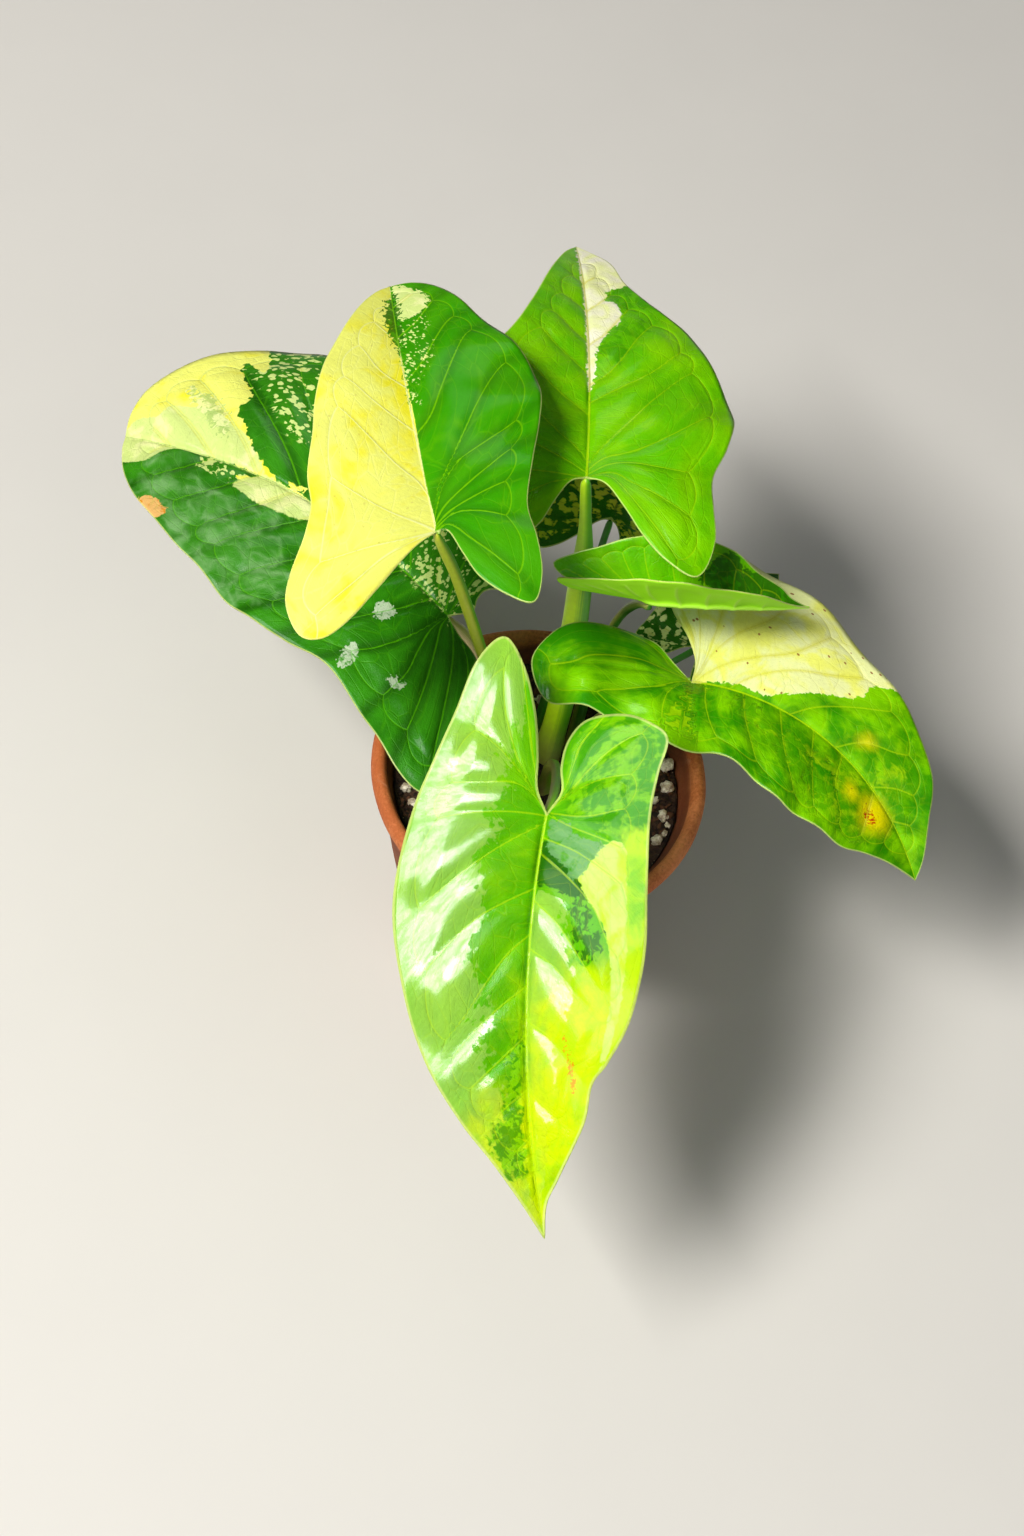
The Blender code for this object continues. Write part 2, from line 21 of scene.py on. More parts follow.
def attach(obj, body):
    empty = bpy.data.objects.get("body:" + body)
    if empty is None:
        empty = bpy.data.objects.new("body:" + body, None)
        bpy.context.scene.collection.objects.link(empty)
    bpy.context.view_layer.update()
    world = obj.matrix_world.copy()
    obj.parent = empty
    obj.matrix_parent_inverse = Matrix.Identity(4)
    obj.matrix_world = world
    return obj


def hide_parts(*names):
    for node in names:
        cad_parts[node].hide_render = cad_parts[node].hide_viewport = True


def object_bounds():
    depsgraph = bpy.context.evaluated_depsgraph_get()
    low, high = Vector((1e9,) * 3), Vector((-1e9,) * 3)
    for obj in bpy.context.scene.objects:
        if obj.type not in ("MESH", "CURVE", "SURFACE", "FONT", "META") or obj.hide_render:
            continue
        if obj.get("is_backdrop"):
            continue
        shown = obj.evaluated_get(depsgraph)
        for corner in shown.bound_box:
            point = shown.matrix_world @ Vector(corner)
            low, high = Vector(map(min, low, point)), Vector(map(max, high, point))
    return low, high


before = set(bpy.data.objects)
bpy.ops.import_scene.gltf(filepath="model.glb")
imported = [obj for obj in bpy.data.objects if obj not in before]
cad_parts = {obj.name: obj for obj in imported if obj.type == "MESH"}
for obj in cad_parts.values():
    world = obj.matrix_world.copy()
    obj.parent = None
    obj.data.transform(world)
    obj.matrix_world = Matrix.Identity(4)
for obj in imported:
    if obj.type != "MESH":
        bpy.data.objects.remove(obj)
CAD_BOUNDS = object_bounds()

bl_info = {
    "name": "Potted arrowhead plant",
    "version": (1, 0, 0),
    "blender": (4, 5, 0),
    "location": "3D View > Sidebar > Plant",
    "description": "Builds the leaves, stalks, soil and clay pot of a variegated arrowhead plant",
    "category": "Add Mesh",
}

MM = 0.001

LEAF_DEFAULTS = {
    "pitch": 0, "roll": 0, "arch": 20, "lobe_arch": 15, "side": 0, "lobe_lean": 0,
    "fold": (16, 16), "curl": (-20, -20), "wave": (1.0, 1.0), "waves": 4, "phase": (0.1, 0.6),
    "stem_radius": (3.2, 1.5), "sheath": 0.35,
}

# Each leaf: where the stem meets the blade, the way the blade points, how it bends, and the flat
# outline of each half, with x counted out from the midrib: its edge from beside the tip, the end
# of its lobe, and its sinus back to the stem. The last two leaves share the plain outline.
LEAVES = {
    "front_leaf": {
        "at": (5, -67, 190), "heading": -87, "pitch": -20, "arch": 12, "lobe_arch": 8, "side": -22,
        "length": 149, "half_width": 50, "fold": (32, 12), "curl": (-26, -20), "wave": (1.4, 1.4),
        "left": ((3, 137, 9, 128, 20, 110, 24, 96, 30, 88, 38, 72, 42, 50, 41, 25, 38, -2,
                 38, -18), (39, -31), (32, -36, 22, -38, 9, -35, 3, -27, 2, -17, 4, -8)),
        "right": ((7, 134, 15, 120, 24, 107, 35, 88, 43, 66, 49, 38, 47, 10, 43, -10, 39, -28,
                  35, -48), (27, -59), (18, -50, 11, -35, 7, -20, 5, -8)),
        "stem": ((3, -2), (3.5, -7, 125), (5, -24, 152), (6, -42, 170), (6, -54, 180)),
    },
    "right_leaf": {
        "at": (46, 14, 172), "heading": 11.6, "pitch": -4, "arch": 28, "side": 67, "lobe_lean": -1,
        "length": 119, "half_width": 38, "fold": (18, 16), "curl": (-16, -16), "wave": (1.2, 1.2),
        "left": ((5, 113, 13, 101, 23, 89, 32, 71, 38, 53, 46, 38, 52, 25, 58, 12), (58, -2),
                 (46, -10, 30, -8, 18, -2, 8, 1)),
        "right": ((10, 109, 20, 100, 28, 92, 34, 76, 38, 60, 39, 46, 36, 28, 33, 10, 34, -6,
                  27, -21, 20, -38, 13, -54), (-2, -60), (-14, -52, -19, -40, -19, -26, -16, -14,
                  -7, -6)),
        "stem": ((13, 5.5), (14, 12, 130), (28, 16, 150), (38, 14.5, 164)),
    },
    "folded_leaf": {
        "at": (23, 19, 208), "heading": 8, "pitch": 4, "roll": 14, "arch": 16, "lobe_arch": -10,
        "side": -28, "length": 63, "half_width": 25, "fold": (62, 62), "curl": (0, 0),
        "wave": (0.4, 0.4),
        "left": ((4, 54, 8, 49, 14, 38, 21, 29, 24, 20, 26, 8, 25, -3, 21, -15, 15, -29),
                 (10, -37), (5, -31, 3.5, -20, 2, -8)),
        "right": ((3, 53, 8, 44, 13, 35, 17, 21, 21, 8, 21, -4, 17, -19), (12, -35), (5, -30,
                  3.5, -20, 2, -8)),
        "stem": ((9.5, 19.5), (10, 34, 132), (13, 38, 158), (16, 34, 178), (20, 26, 196)),
    },
    "back_leaf": {
        "at": (-10, 45, 236), "heading": 98, "pitch": -5, "arch": 26, "side": -4, "length": 160,
        "half_width": 50, "curl": (-20, -26), "wave": (1.2, 1.6), "stem_radius": (5.6, 1.9),
        "sheath": 0.66,
        "left": ((6, 148, 13, 127, 21, 99, 28, 78, 37, 60, 45, 44, 50, 26, 50, 8, 47, -8, 44, -24),
                 (36, -40), (26, -37, 17, -28, 11, -14, 6, -4)),
        "right": ((5, 150, 12, 136, 16, 118, 23, 103, 30, 94, 38, 84, 44, 68, 51, 50, 54, 36,
                  51, 20, 46, 6, 46, -10, 47, -26), (41, -41), (30, -36, 21, -26, 14, -14, 7, -3)),
        "stem": ((1, 13), (1.5, 20, 128), (0, 31, 152), (-2, 37, 175), (-5, 41, 205)),
    },
    "yellow_leaf": {
        "at": (-55, -13, 262), "heading": 113, "pitch": -3, "arch": 18, "side": 8, "length": 134,
        "half_width": 44, "fold": (14, 16), "curl": (-16, -20), "wave": (1.0, 1.4),
        "left": ((6, 127, 13, 115, 22, 95, 29, 78, 34, 60, 37, 43, 41, 26, 42, 12, 46, 0, 53, -14,
                 57, -28), (54, -39), (46, -41, 36, -35, 25, -24, 16, -14, 8, -6)),
        "right": ((8, 134, 16, 130, 24, 120, 31, 107, 40, 91, 46, 76, 47, 60, 44, 44, 38, 24,
                  33, 6, 33, -10, 32, -24), (27, -35), (19, -31, 11, -22, 7, -11, 4, -1)),
        "stem": ((-9, 3), (-15, 0, 130), (-30, -4, 180), (-45, -9, 232)),
    },
    "left_leaf": {
        "at": (-47, 11, 180), "heading": 140, "pitch": -1, "roll": -4, "arch": 22, "lobe_arch": 26,
        "side": -29, "length": 160, "half_width": 58, "fold": (6, 16), "curl": (-14, -24),
        "wave": (1.6, 1.6),
        "left": ((8, 157, 19, 150, 29, 139, 37, 125, 45, 106, 53, 83, 58, 62, 59, 44, 56, 30,
                 53, 14, 52, -4, 54, -24, 56, -42), (52, -56), (40, -56, 24, -45, 10, -33, 3, -21,
                 2, -9)),
        "right": ((10, 162, 22, 161, 33, 156, 44, 148, 54, 138, 64, 127, 68, 112, 66, 92, 61, 70,
                  55, 50, 49, 32, 43, 15), (34, -2), (26, -4, 18, 0, 13, -1, 8, -4)),
        "stem": ((-11, 11.5), (-17, 12, 122), (-29, 14, 148), (-38, 13, 166)),
    },
    "low_back_leaf": {
        "at": (3, 84, 165), "heading": 82, "pitch": -8, "arch": 26, "length": 76, "half_width": 29,
        "stem_radius": (2.6, 1.3),
        "stem": ((-5, 24), (-3, 44, 128), (1, 68, 150)),
    },
    "low_right_leaf": {
        "at": (47, 54, 138), "heading": 62, "pitch": 2, "arch": 22, "length": 58, "half_width": 22,
        "stem_radius": (2.6, 1.3),
        "stem": ((18, 14), (22, 24, 115), (35, 43, 130)),
    },
}

# Half of a plain leaf, in shares of its half width and length.
PLAIN_HALF = ((0.24, 0.84, 0.55, 0.60, 0.82, 0.36, 0.98, 0.12, 0.98, -0.08, 0.92, -0.24),
              (0.74, -0.38), (0.50, -0.32, 0.30, -0.20, 0.15, -0.07))
PLAIN_ORIGINS = (0.84, 0.66, 0.49, 0.33, 0.18, 0.05, 0, 0, 0, 0)
PLAIN_ENDS = (0.10, 0.22, 0.34, 0.46, 0.58, 0.68, 0.77, 0.86, 0.94, 1.0)
PLAIN_SAG = 0.06

# Main side veins of each half, from the tip round to the sinus: where each leaves the midrib,
# then its points, with x counted out from the midrib.
VEINS = {
    ("front_leaf", "right"): (
        (126, 5, 130, 9, 134), (113, 6, 118, 13, 124), (97, 9, 103, 18, 112),
        (78, 9, 86, 22, 97, 26, 101), (61, 9, 68, 19, 77, 29, 88),
        (43, 8, 51, 16, 63, 23, 74, 33, 85), (27, 13, 35, 21, 41, 32, 53, 42, 66),
        (3, 15, 15, 29, 28, 39, 38, 48, 48), (1, 10, 2, 21, 4, 32, 7, 48, 13),
        (0, 7, -6, 14, -8, 23, -6, 36, -3, 44, -1), (0, 4, -4, 13, -13, 23, -20, 32, -24, 41, -26),
        (0, 7, -7, 14, -16, 21, -31, 24, -42, 26, -54), (0, 5, -8, 9, -18, 13, -31, 17, -44)),
    ("front_leaf", "left"): (
        (126, 5, 131, 8, 135), (113, 6, 119, 12, 126), (97, 8, 105, 18, 114),
        (73, 10, 80, 18, 91, 24, 102), (48, 10, 54, 19, 65, 28, 75, 34, 84),
        (31, 10, 39, 20, 52, 28, 64, 38, 74), (14, 13, 23, 23, 33, 30, 47, 41, 60),
        (9, 14, 13, 27, 20, 35, 26, 44, 34), (0, 10, 4, 21, 7, 30, 10, 43, 16),
        (0, 15, 0, 27, -4, 34, -6, 40, -7), (0, 9, -9, 21, -15, 33, -18, 40, -20),
        (0, 7, -7, 12, -15, 19, -24, 28, -31, 38, -34), (0, 6, -10, 8, -24, 13, -33, 16, -38)),
    ("right_leaf", "right"): (
        (108, 5, 110, 8, 112), (96, 8, 100, 15, 105), (82, 9, 87, 17, 93, 25, 98),
        (64, 12, 68, 18, 74, 22, 81, 31, 88), (50, 12, 54, 22, 61, 29, 69, 35, 77),
        (35, 12, 39, 23, 46, 31, 55, 38, 64), (20, 13, 22, 25, 28, 33, 36, 39, 45),
        (5, 13, 5, 24, 9, 35, 19), (0, 4, -6, 10, -11, 20, -13, 28, -11, 35, -7),
        (0, 3, -7, 7, -14, 9, -25, 12, -36, 20, -42),
        (0, -3, -12, -5, -20, -5, -30, -3, -39, 0, -46, -2, -60),
        (0, -5, -8, -10, -11, -14, -16, -18, -26, -19, -34)),
    ("right_leaf", "left"): (
        (108, 3, 111, 5, 114), (95, 6, 100, 10, 105), (80, 8, 86, 14, 93, 20, 97),
        (60, 10, 67, 17, 77, 27, 84), (39, 8, 46, 16, 55, 25, 65, 34, 71),
        (14, 8, 22, 16, 33, 24, 47, 36, 60), (0, 9, 11, 16, 22, 24, 33, 44, 44),
        (0, 4, 3, 13, 7, 23, 14, 35, 24, 52, 28), (0, 8, 4, 21, 7, 34, 9, 58, 14),
        (0, 9, 2, 20, 2, 34, 1, 58, 1), (0, 9, 1, 18, 0, 29, -4, 46, -9)),
    ("back_leaf", "left"): (
        (140, 5, 144, 8, 148), (120, 6, 127, 11, 134), (97, 6, 103, 13, 110, 19, 114),
        (75, 7, 81, 14, 90, 25, 97), (54, 6, 60, 13, 67, 20, 78, 30, 86),
        (31, 6, 35, 14, 41, 26, 54, 38, 64), (7, 4, 12, 12, 18, 26, 31, 46, 46),
        (2, 8, 5, 20, 9, 36, 16, 52, 24), (0, 10, -2, 22, -4, 36, -6, 50, -8),
        (0, 10, -5, 17, -10, 26, -20, 37, -38)),
    ("back_leaf", "right"): (
        (140, 5, 144, 9, 148), (120, 6, 126, 13, 134), (97, 6, 103, 12, 111, 18, 118),
        (73, 7, 80, 13, 91, 20, 103, 28, 106), (48, 7, 54, 13, 64, 20, 79, 30, 94),
        (38, 10, 45, 22, 54, 31, 64, 41, 77), (5, 6, 15, 15, 27, 25, 42, 36, 56, 47, 62),
        (3, 6, 9, 18, 13, 33, 24, 44, 34, 54, 40), (1, 8, 6, 17, 7, 26, 6, 38, 6, 50, 10),
        (0, 9, 2, 17, -3, 26, -8, 36, -15, 47, -22), (0, 7, 1, 12, -3, 19, -13, 28, -26, 36, -38)),
    ("yellow_leaf", "left"): (
        (116, 5, 120, 10, 123), (95, 6, 103, 12, 111, 17, 114), (69, 9, 77, 15, 90, 24, 98),
        (46, 7, 53, 14, 61, 21, 70, 32, 78), (15, 3, 22, 10, 30, 18, 43, 26, 56, 36, 63),
        (0, 6, 3, 18, 9, 30, 20, 41, 34), (0, 12, -4, 25, -7, 40, -11, 56, -14),
        (0, 12, -6, 22, -12, 35, -23, 54, -38)),
    ("yellow_leaf", "right"): (
        (118, 8, 126, 13, 131), (98, 8, 107, 15, 119, 22, 127),
        (72, 7, 81, 13, 93, 20, 106, 30, 113), (44, 7, 53, 13, 68, 19, 83, 26, 97, 37, 102),
        (6, 4, 17, 10, 28, 17, 42, 25, 58, 35, 76, 45, 82),
        (5, 5, 18, 12, 28, 22, 35, 33, 43, 47, 55), (3, 4, 9, 11, 15, 23, 24, 34, 33, 43, 38),
        (2, 6, 7, 14, 11, 24, 15, 37, 19), (1, 7, 6, 16, 5, 25, 1, 33, -4),
        (0, 5, 2, 11, -6, 17, -14, 24, -24, 28, -32)),
    ("left_leaf", "left"): (
        (140, 8, 146, 14, 153), (119, 10, 127, 20, 138, 27, 143), (99, 12, 106, 25, 117, 38, 128),
        (82, 14, 88, 30, 98, 46, 110), (65, 10, 69, 22, 77, 36, 86, 52, 93),
        (46, 14, 50, 28, 57, 42, 67, 58, 75), (26, 14, 29, 30, 36, 46, 45, 60, 55),
        (9, 15, 12, 32, 19, 46, 27, 58, 34), (0, 16, -1, 31, 1, 42, 6, 54, 12),
        (0, 10, -2, 21, -8, 32, -14, 55, -18), (0, 6, -3, 14, -10, 26, -20, 40, -30, 57, -40),
        (0, 4, -8, 14, -20, 29, -34, 39, -43, 52, -56), (0, 3, -11, 8, -21, 20, -35, 36, -52)),
    ("left_leaf", "right"): (
        (140, 6, 150, 11, 162), (120, 9, 133, 18, 148, 24, 162),
        (99, 10, 111, 22, 127, 32, 142, 38, 154), (77, 12, 92, 24, 108, 36, 123, 52, 140),
        (58, 14, 74, 30, 92, 46, 108, 66, 122), (40, 14, 54, 32, 70, 48, 84, 68, 100),
        (22, 12, 34, 28, 48, 44, 61, 64, 78), (5, 9, 16, 23, 29, 38, 40, 58, 54),
        (2, 10, 9, 22, 15, 34, 21, 49, 28), (0, 10, 4, 20, 7, 30, 9, 42, 10),
        (0, 10, 1, 20, 1, 34, 0)),
}

# Outlines of the patches on each blade; a patch may have several.
PATCHES = {
    "front_leaf": {
        "lime": [(-14, 23, -19, 19, -21, 13, -26, 8, -31, 9, -33, 20, -35, 38, -35.5, 56, -34, 70,
                  -30, 84, -26, 93, -28, 82, -30, 72, -31, 62, -29, 45, -23, 33)],
        "sheen": [(-2, 2, -10, 3, -14, 8, -24, 9, -20, 16, -17, 22, -15, 23, -9, 18, -3, 12)],
        "brim": [(-30, 4, -50, 2, -56, 40, -50, 70, -36, 96, -24, 93, -30, 72, -31, 40, -30, 16)],
        "dark": [(-0.5, 9, -8, 15, -14, 21, -19, 27, -19, 31, -11, 28, -5, 26, -0.5, 25)],
        "blotch": [(-13, 32, -18, 29, -23, 35, -27, 44, -25, 50, -20, 53, -17, 46, -15, 38)],
        "speckle": [(2, 77, 6, 81, 8, 87, 6, 90, 9, 95, 10, 99, 10, 105, 14, 111, 14, 118, 11, 124,
                     6, 127, 3, 120, 3, 108, 3, 95)],
        "butter": [(0, 66, -7, 64, -14, 58, -22, 54, -30, 54, -40, 56, -46, 62, -40, 84, -28, 102,
                    -20, 115, -9, 132, 0, 148, 9, 132, 19, 120, 18, 105, 3, 96, 0, 88, 0, 80)],
        "scorch": [(-13.5, 79, -15, 79, -17, 86, -18, 97, -16.4, 97, -15.4, 87)],
        "lobe": [(-2, -2, -10, 2, -24, 5, -42, 8, -50, -10, -46, -34, -36, -52, -26, -62, -14, -48,
                  -7, -32, -4, -16)],
    },
    "right_leaf": {
        "cream": [(1, 0, -2, 10, -3, 20, -2, 27, -7, 36, -12, 43, -21, 56, -26, 57, -30, 58,
                   -38, 66, -50, 60, -64, 34, -72, 12, -68, -8, -46, -18, -30, -13, -17, -8,
                   -7, -3)],
        "halo": [(10, 82, 5, 82, 1, 87, 2, 93, 7, 96, 13, 93, 14, 87), (9, 73, 13, 75, 12, 79,
                  9, 78), (-9, 66, -12, 67, -11, 69)],
        "rust": [(9, 85, 7, 88, 8, 91, 11, 91, 11, 87)],
        "stain": [(1, -2, -2, -4, -1, 2, 5, 4, 7, -3)],
        "glow": [(4, 20, 14, 22, 22, 34, 28, 56, 26, 80, 14, 98, -4, 92, -6, 80, 6, 62, 8, 40),
                  (-10, 58, -22, 70, -18, 90, -8, 84, -4, 66)],
    },
    "folded_leaf": {
        "dark": [(-6, 24, -10, 17, -15, 20, -20, 24, -19, 31, -14, 33, -13, 40, -6, 54, 0, 66,
                  3, 50, 1, 34)],
        "near": [(0, 64, 10, 50, 24, 24, 28, 0, 22, -30, 8, -42, 0, -10, 0, 30)],
    },
    "back_leaf": {
        "cream": [(0, 162, 8, 152, 11, 144, 15, 131, 17, 117, 9, 111, 8, 103, 12, 98, 13, 88,
                   8, 81, 3, 67, 3, 60, 0, 44, -1, 60, -1, 100, -1, 150)],
        "fresh": [(17, 117, 9, 111, 8, 103, 12, 98, 13, 88, 8, 81, 3, 67, 8, 58, 15, 66, 22, 82,
                   30, 96, 24, 106)],
    },
    "yellow_leaf": {
        "butter": [(0, 140, 0, 100, 1, 60, 0, 20, 0, 2, -6, -8, -20, -26, -50, -52, -70, -40,
                    -62, 0, -50, 60, -34, 110, -12, 140)],
        "cream": [(1, 134, 8, 130, 13, 122, 12, 115, 8, 111, 3, 109, 1, 112)],
        "speckle": [(1, 114, 10, 112, 11, 92, 8, 78, 4, 68, 1, 60)],
        "green": [(2, 128, -1, 124, -4, 112, -3, 100, 0, 88, 2, 108)],
    },
    "left_leaf": {
        "cream": [(-5, 158, 6, 168, 24, 166, 44, 154, 58, 142, 61, 132, 55, 127, 46, 124, 49, 132,
                   43, 132, 35, 123, 28, 121, 23, 122, 16, 114, 9, 106, 4, 97, 2, 88, 4, 81, 3, 75,
                   0, 96, 1, 116, 3, 138), (-5, 160, -12, 152, -4, 145, 3, 142, 3, 154), (-6, 106,
                   -8, 95, -13, 90, -11, 83, -9, 75, -3, 70, 1, 75, 0, 95)],
        "sheen": [(-4, 140, -30, 134, -52, 100, -56, 60, -40, 50, -22, 76, -16, 112)],
        "pale": [(3, 161, 9, 158, 11, 151, 16, 148, 18, 146, 18, 140, 20, 132, 18, 124, 14, 114,
                  8, 105, 4, 99, 0, 98, -10, 104, -14, 90, -12, 72, -2, 66, 1, 90, 0, 116, -2, 135,
                  -12, 145, -14, 156, -4, 164)],
        "mint": [(26, 144, 29, 143, 24, 139, 27, 137, 25, 131, 20, 125, 12, 120, 10, 122, 14, 130,
                  19, 136, 22, 141)],
        "speckle": [(60, 135, 70, 126, 66, 110, 46, 97, 26, 87, 20, 95, 28, 108, 38, 121, 45, 130,
                     48, 136), (-3, 125, 2, 120, -1, 107, -4, 102, -8, 105, -9, 114, -8, 121)],
        "scorch": [(-31, 135, -29, 130, -32, 121, -35, 118, -39, 123, -37, 131)],
        "silver": [(-22, 18, -17, 17, -16, 12, -21, 9, -25, 12), (-42, 9, -38, 7, -41, 2, -47, 0,
                    -49, 4), (-37, -10, -33, -15, -35, -18, -38, -15)],
        "lobe": [(0, -2, 0, 28, 18, 38, 54, 52, 46, 12, 36, -8, 16, -8)],
    },
    "low_back_leaf": {
        "butter": [(0, 66, -20, 44, -32, 10, -28, -26, -10, -12, 0, 4, 10, -12, 28, -26, 32, 10,
                    20, 44)],
    },
    "low_right_leaf": {
        "cream": [(0, 50, -15, 33, -24, 8, -22, -20, -8, -9, 0, 3, 8, -9, 22, -20, 24, 8, 15, 33)],
    },
}

# The pot and the soil.
FLOOR = 8
POT_SIDES = 160
DRAIN_RADIUS = 4.5
DRAIN_CIRCLE = 19
DRAINS = 3
DRAIN_SIDES = 40
DRAIN_TURN = 90
FLOOR_FILLET = 3
WALL_RINGS = 30
INNER_RINGS = 24
LIP_RINGS = 19
POT_WOBBLE = ((22, 0.35), (90, 0.12))  # frequency and depth
SOIL_TOP = 99
SOIL_SWELL = 1.2
SOIL_SIDES = 220
SOIL_EDGE = 55.2
SOIL_RINGS = 74
SOIL_CLODS = ((0, 5.5, 1.1), (4, 2.1, 0.8), (9, 0.9, 0.35))  # layer of noise, size and height
GRAIN_SEED = 4
GRAIN_REACH = 52
GRAIN_ROOM = 2.2
CRUMB_SEED = 9
CRUMB_REACH = 54
CRUMB_ROOM = 0.8
LARGE_CRUMB = 6  # one crumb of so many is large

# Grains that the photograph shows along the pot's right and left sides: x, y and radius.
GRAIN_DRIFT = ((47.6, 22.0, 2.9), (49.8, 12.2, 2.8), (46.0, 5.1, 2.0), (50.4, -1.4, 2.7),
               (53.0, -4.6, 1.2), (50.2, -12.2, 2.6), (52.4, -8.4, 1.3), (33.1, 35.5, 2.8),
               (38.4, 31.0, 1.6), (42.0, 14.0, 1.5), (-48.4, -16.2, 2.0))

# The photograph's view.
LENS = 70
SENSOR = 36
IMAGE_WIDTH = 1024
IMAGE_HEIGHT = 1536
CAMERA_WAY = {"heading": 90, "pitch": -58, "roll": 14}
RIM_TOP = 112
RIM_SCALE = 2.6
RIM_PIXEL = (541, 767)

# Blades: a quilted upper side over veins that stand out below.
HALVES = {"left": -1, "right": 1}  # and the sign of x there
BLADE_HALF = 0.4
RIB_THICKNESS = 2.2
BLADE_SHARE = 0.36
EDGE_SHARE = 0.24
VEIN_SHARE = 0.16
RIB_WIDTH = 1.5
DETAIL_LENGTH = 120
TIP_SHARE = 12 / 18
RIB_INSET = 0.35
LOBE_STATIONS = 6
MARGIN_STEPS = 12
LOBE_STEPS = 50
ACROSS = 36
INNER_ACROSS = 10
CROWDING = 1.3
LOOP_SHARE = 0.19
MARGIN_SPACING = 14
VEIN_REACH = 30
LINE_STEPS = 4
LEAST_SPACE = 0.5
PROBE = 0.05
RIB_PROBE = 1.5
WELD = 0.02
SEAM = 0.001

# Stalks follow the same routes as the stems of the part.
STEM_FOOT = 74
STEM_CLEAR = 4
STEM_LINE = 8
STALK_SHARE = 0.6
SHEATH_FADE = 0.25
GAP = 0.3
SHOOT_RADIUS = 2.6
SHOOT_FOOT = (-5, -5)
SHOOT_TOP = (-3, -6, 131)
SHOOT_TAPER = (1, 1, 1, 1, 1, 0.95, 0.85, 0.7, 0.5, 0.16)
STALK_RINGS = 96
STALK_SIDES = 40


def flat_points(numbers, sign=1, width=1, length=1):
    """Points from the numbers of a table, mirrored and scaled."""
    return [(sign * x * width, y * length) for x, y in zip(numbers[::2], numbers[1::2])]


def all_leaves():
    """Every leaf with its name, its defaults and the points of its outline filled in."""
    leaves = {}
    for name, given in LEAVES.items():
        leaf = leaves[name] = {**LEAF_DEFAULTS, **given, "name": name}
        scale = (1, 1) if "left" in given else (leaf["half_width"], leaf["length"])
        for half, sign in HALVES.items():
            leaf[half] = [flat_points(part, sign, *scale) for part in given.get(half, PLAIN_HALF)]
    return leaves


def smooth_line(points, steps=MARGIN_STEPS):
    """Points of a smooth line through the given ones, a few for each stretch."""
    points = np.array(points, float)
    ends = np.vstack([2 * points[0] - points[1], points, 2 * points[-1] - points[-2]])
    share = np.arange(steps)[:, None] / steps
    line = [0.5 * (2 * b + (c - a) * share + (2 * a - 5 * b + 4 * c - d) * share ** 2
                   + (3 * b - a - 3 * c + d) * share ** 3)
            for a, b, c, d in zip(ends, ends[1:], ends[2:], ends[3:])]
    return np.vstack(line + [points[-1:]])


def on_line(line, shares):
    """Points at the given shares of a line's length."""
    run = np.concatenate([[0], np.cumsum(np.linalg.norm(np.diff(line, axis=0), axis=1))])
    return np.stack([np.interp(shares, run / run[-1], line[:, k]) for k in range(line.shape[1])], 1)


def stretches(points, line):
    """The steps of a line, the way from each step's start to each point, and their distances."""
    step = np.diff(line, axis=0)
    gap = points[:, None] - line[:-1]
    share = np.clip((gap * step).sum(-1) / np.maximum((step * step).sum(-1), 1e-9), 0, 1)
    return step, gap, np.linalg.norm(gap - share[..., None] * step, axis=-1)


def beside(points, line):
    """Distance of each point from a line, positive on the line's left."""
    step, gap, away = stretches(points, line)
    near = away.argmin(1)
    rows = np.arange(len(points))
    cross = step[near, 0] * gap[rows, near, 1] - step[near, 1] * gap[rows, near, 0]
    return np.where(cross < 0, -1, 1) * away[rows, near]


def inside(points, outline):
    """Distance of each point from a closed outline, positive inside it."""
    ring = smooth_line(outline + outline[:1], LINE_STEPS)
    step, _, away = stretches(points, ring)
    x, y = points[:, :1], points[:, 1:]
    low, high = ring[:-1], ring[1:]
    spans = (low[:, 1] > y) != (high[:, 1] > y)
    rise = np.where(step[:, 1] == 0, 1, step[:, 1])
    crossed = spans & (x < step[:, 0] * (y - low[:, 1]) / rise + low[:, 0])
    return np.where(crossed.sum(1) % 2 == 1, 1, -1) * away.min(1)


def tilted_axes(way):
    """Ahead, to the right and upwards of a blade or a camera that is turned the given way."""
    heading, pitch, roll = (math.radians(way[key]) for key in ("heading", "pitch", "roll"))
    along = Vector((math.cos(pitch) * math.cos(heading), math.cos(pitch) * math.sin(heading),
                    math.sin(pitch)))
    level_up = Vector((-math.sin(pitch) * math.cos(heading),
                       -math.sin(pitch) * math.sin(heading), math.cos(pitch)))
    level_right = along.cross(level_up)
    right = level_right * math.cos(roll) + level_up * math.sin(roll)
    up = level_up * math.cos(roll) - level_right * math.sin(roll)
    return along, right, up


def bent(slope, turn, distance):
    """Reach and rise after a distance along lines that start at a slope and turn evenly."""
    turn = np.where(np.abs(turn) < 1e-7, 1e-7, turn)
    end = slope + turn * distance
    return (np.sin(end) - np.sin(slope)) / turn, (np.cos(slope) - np.cos(end)) / turn


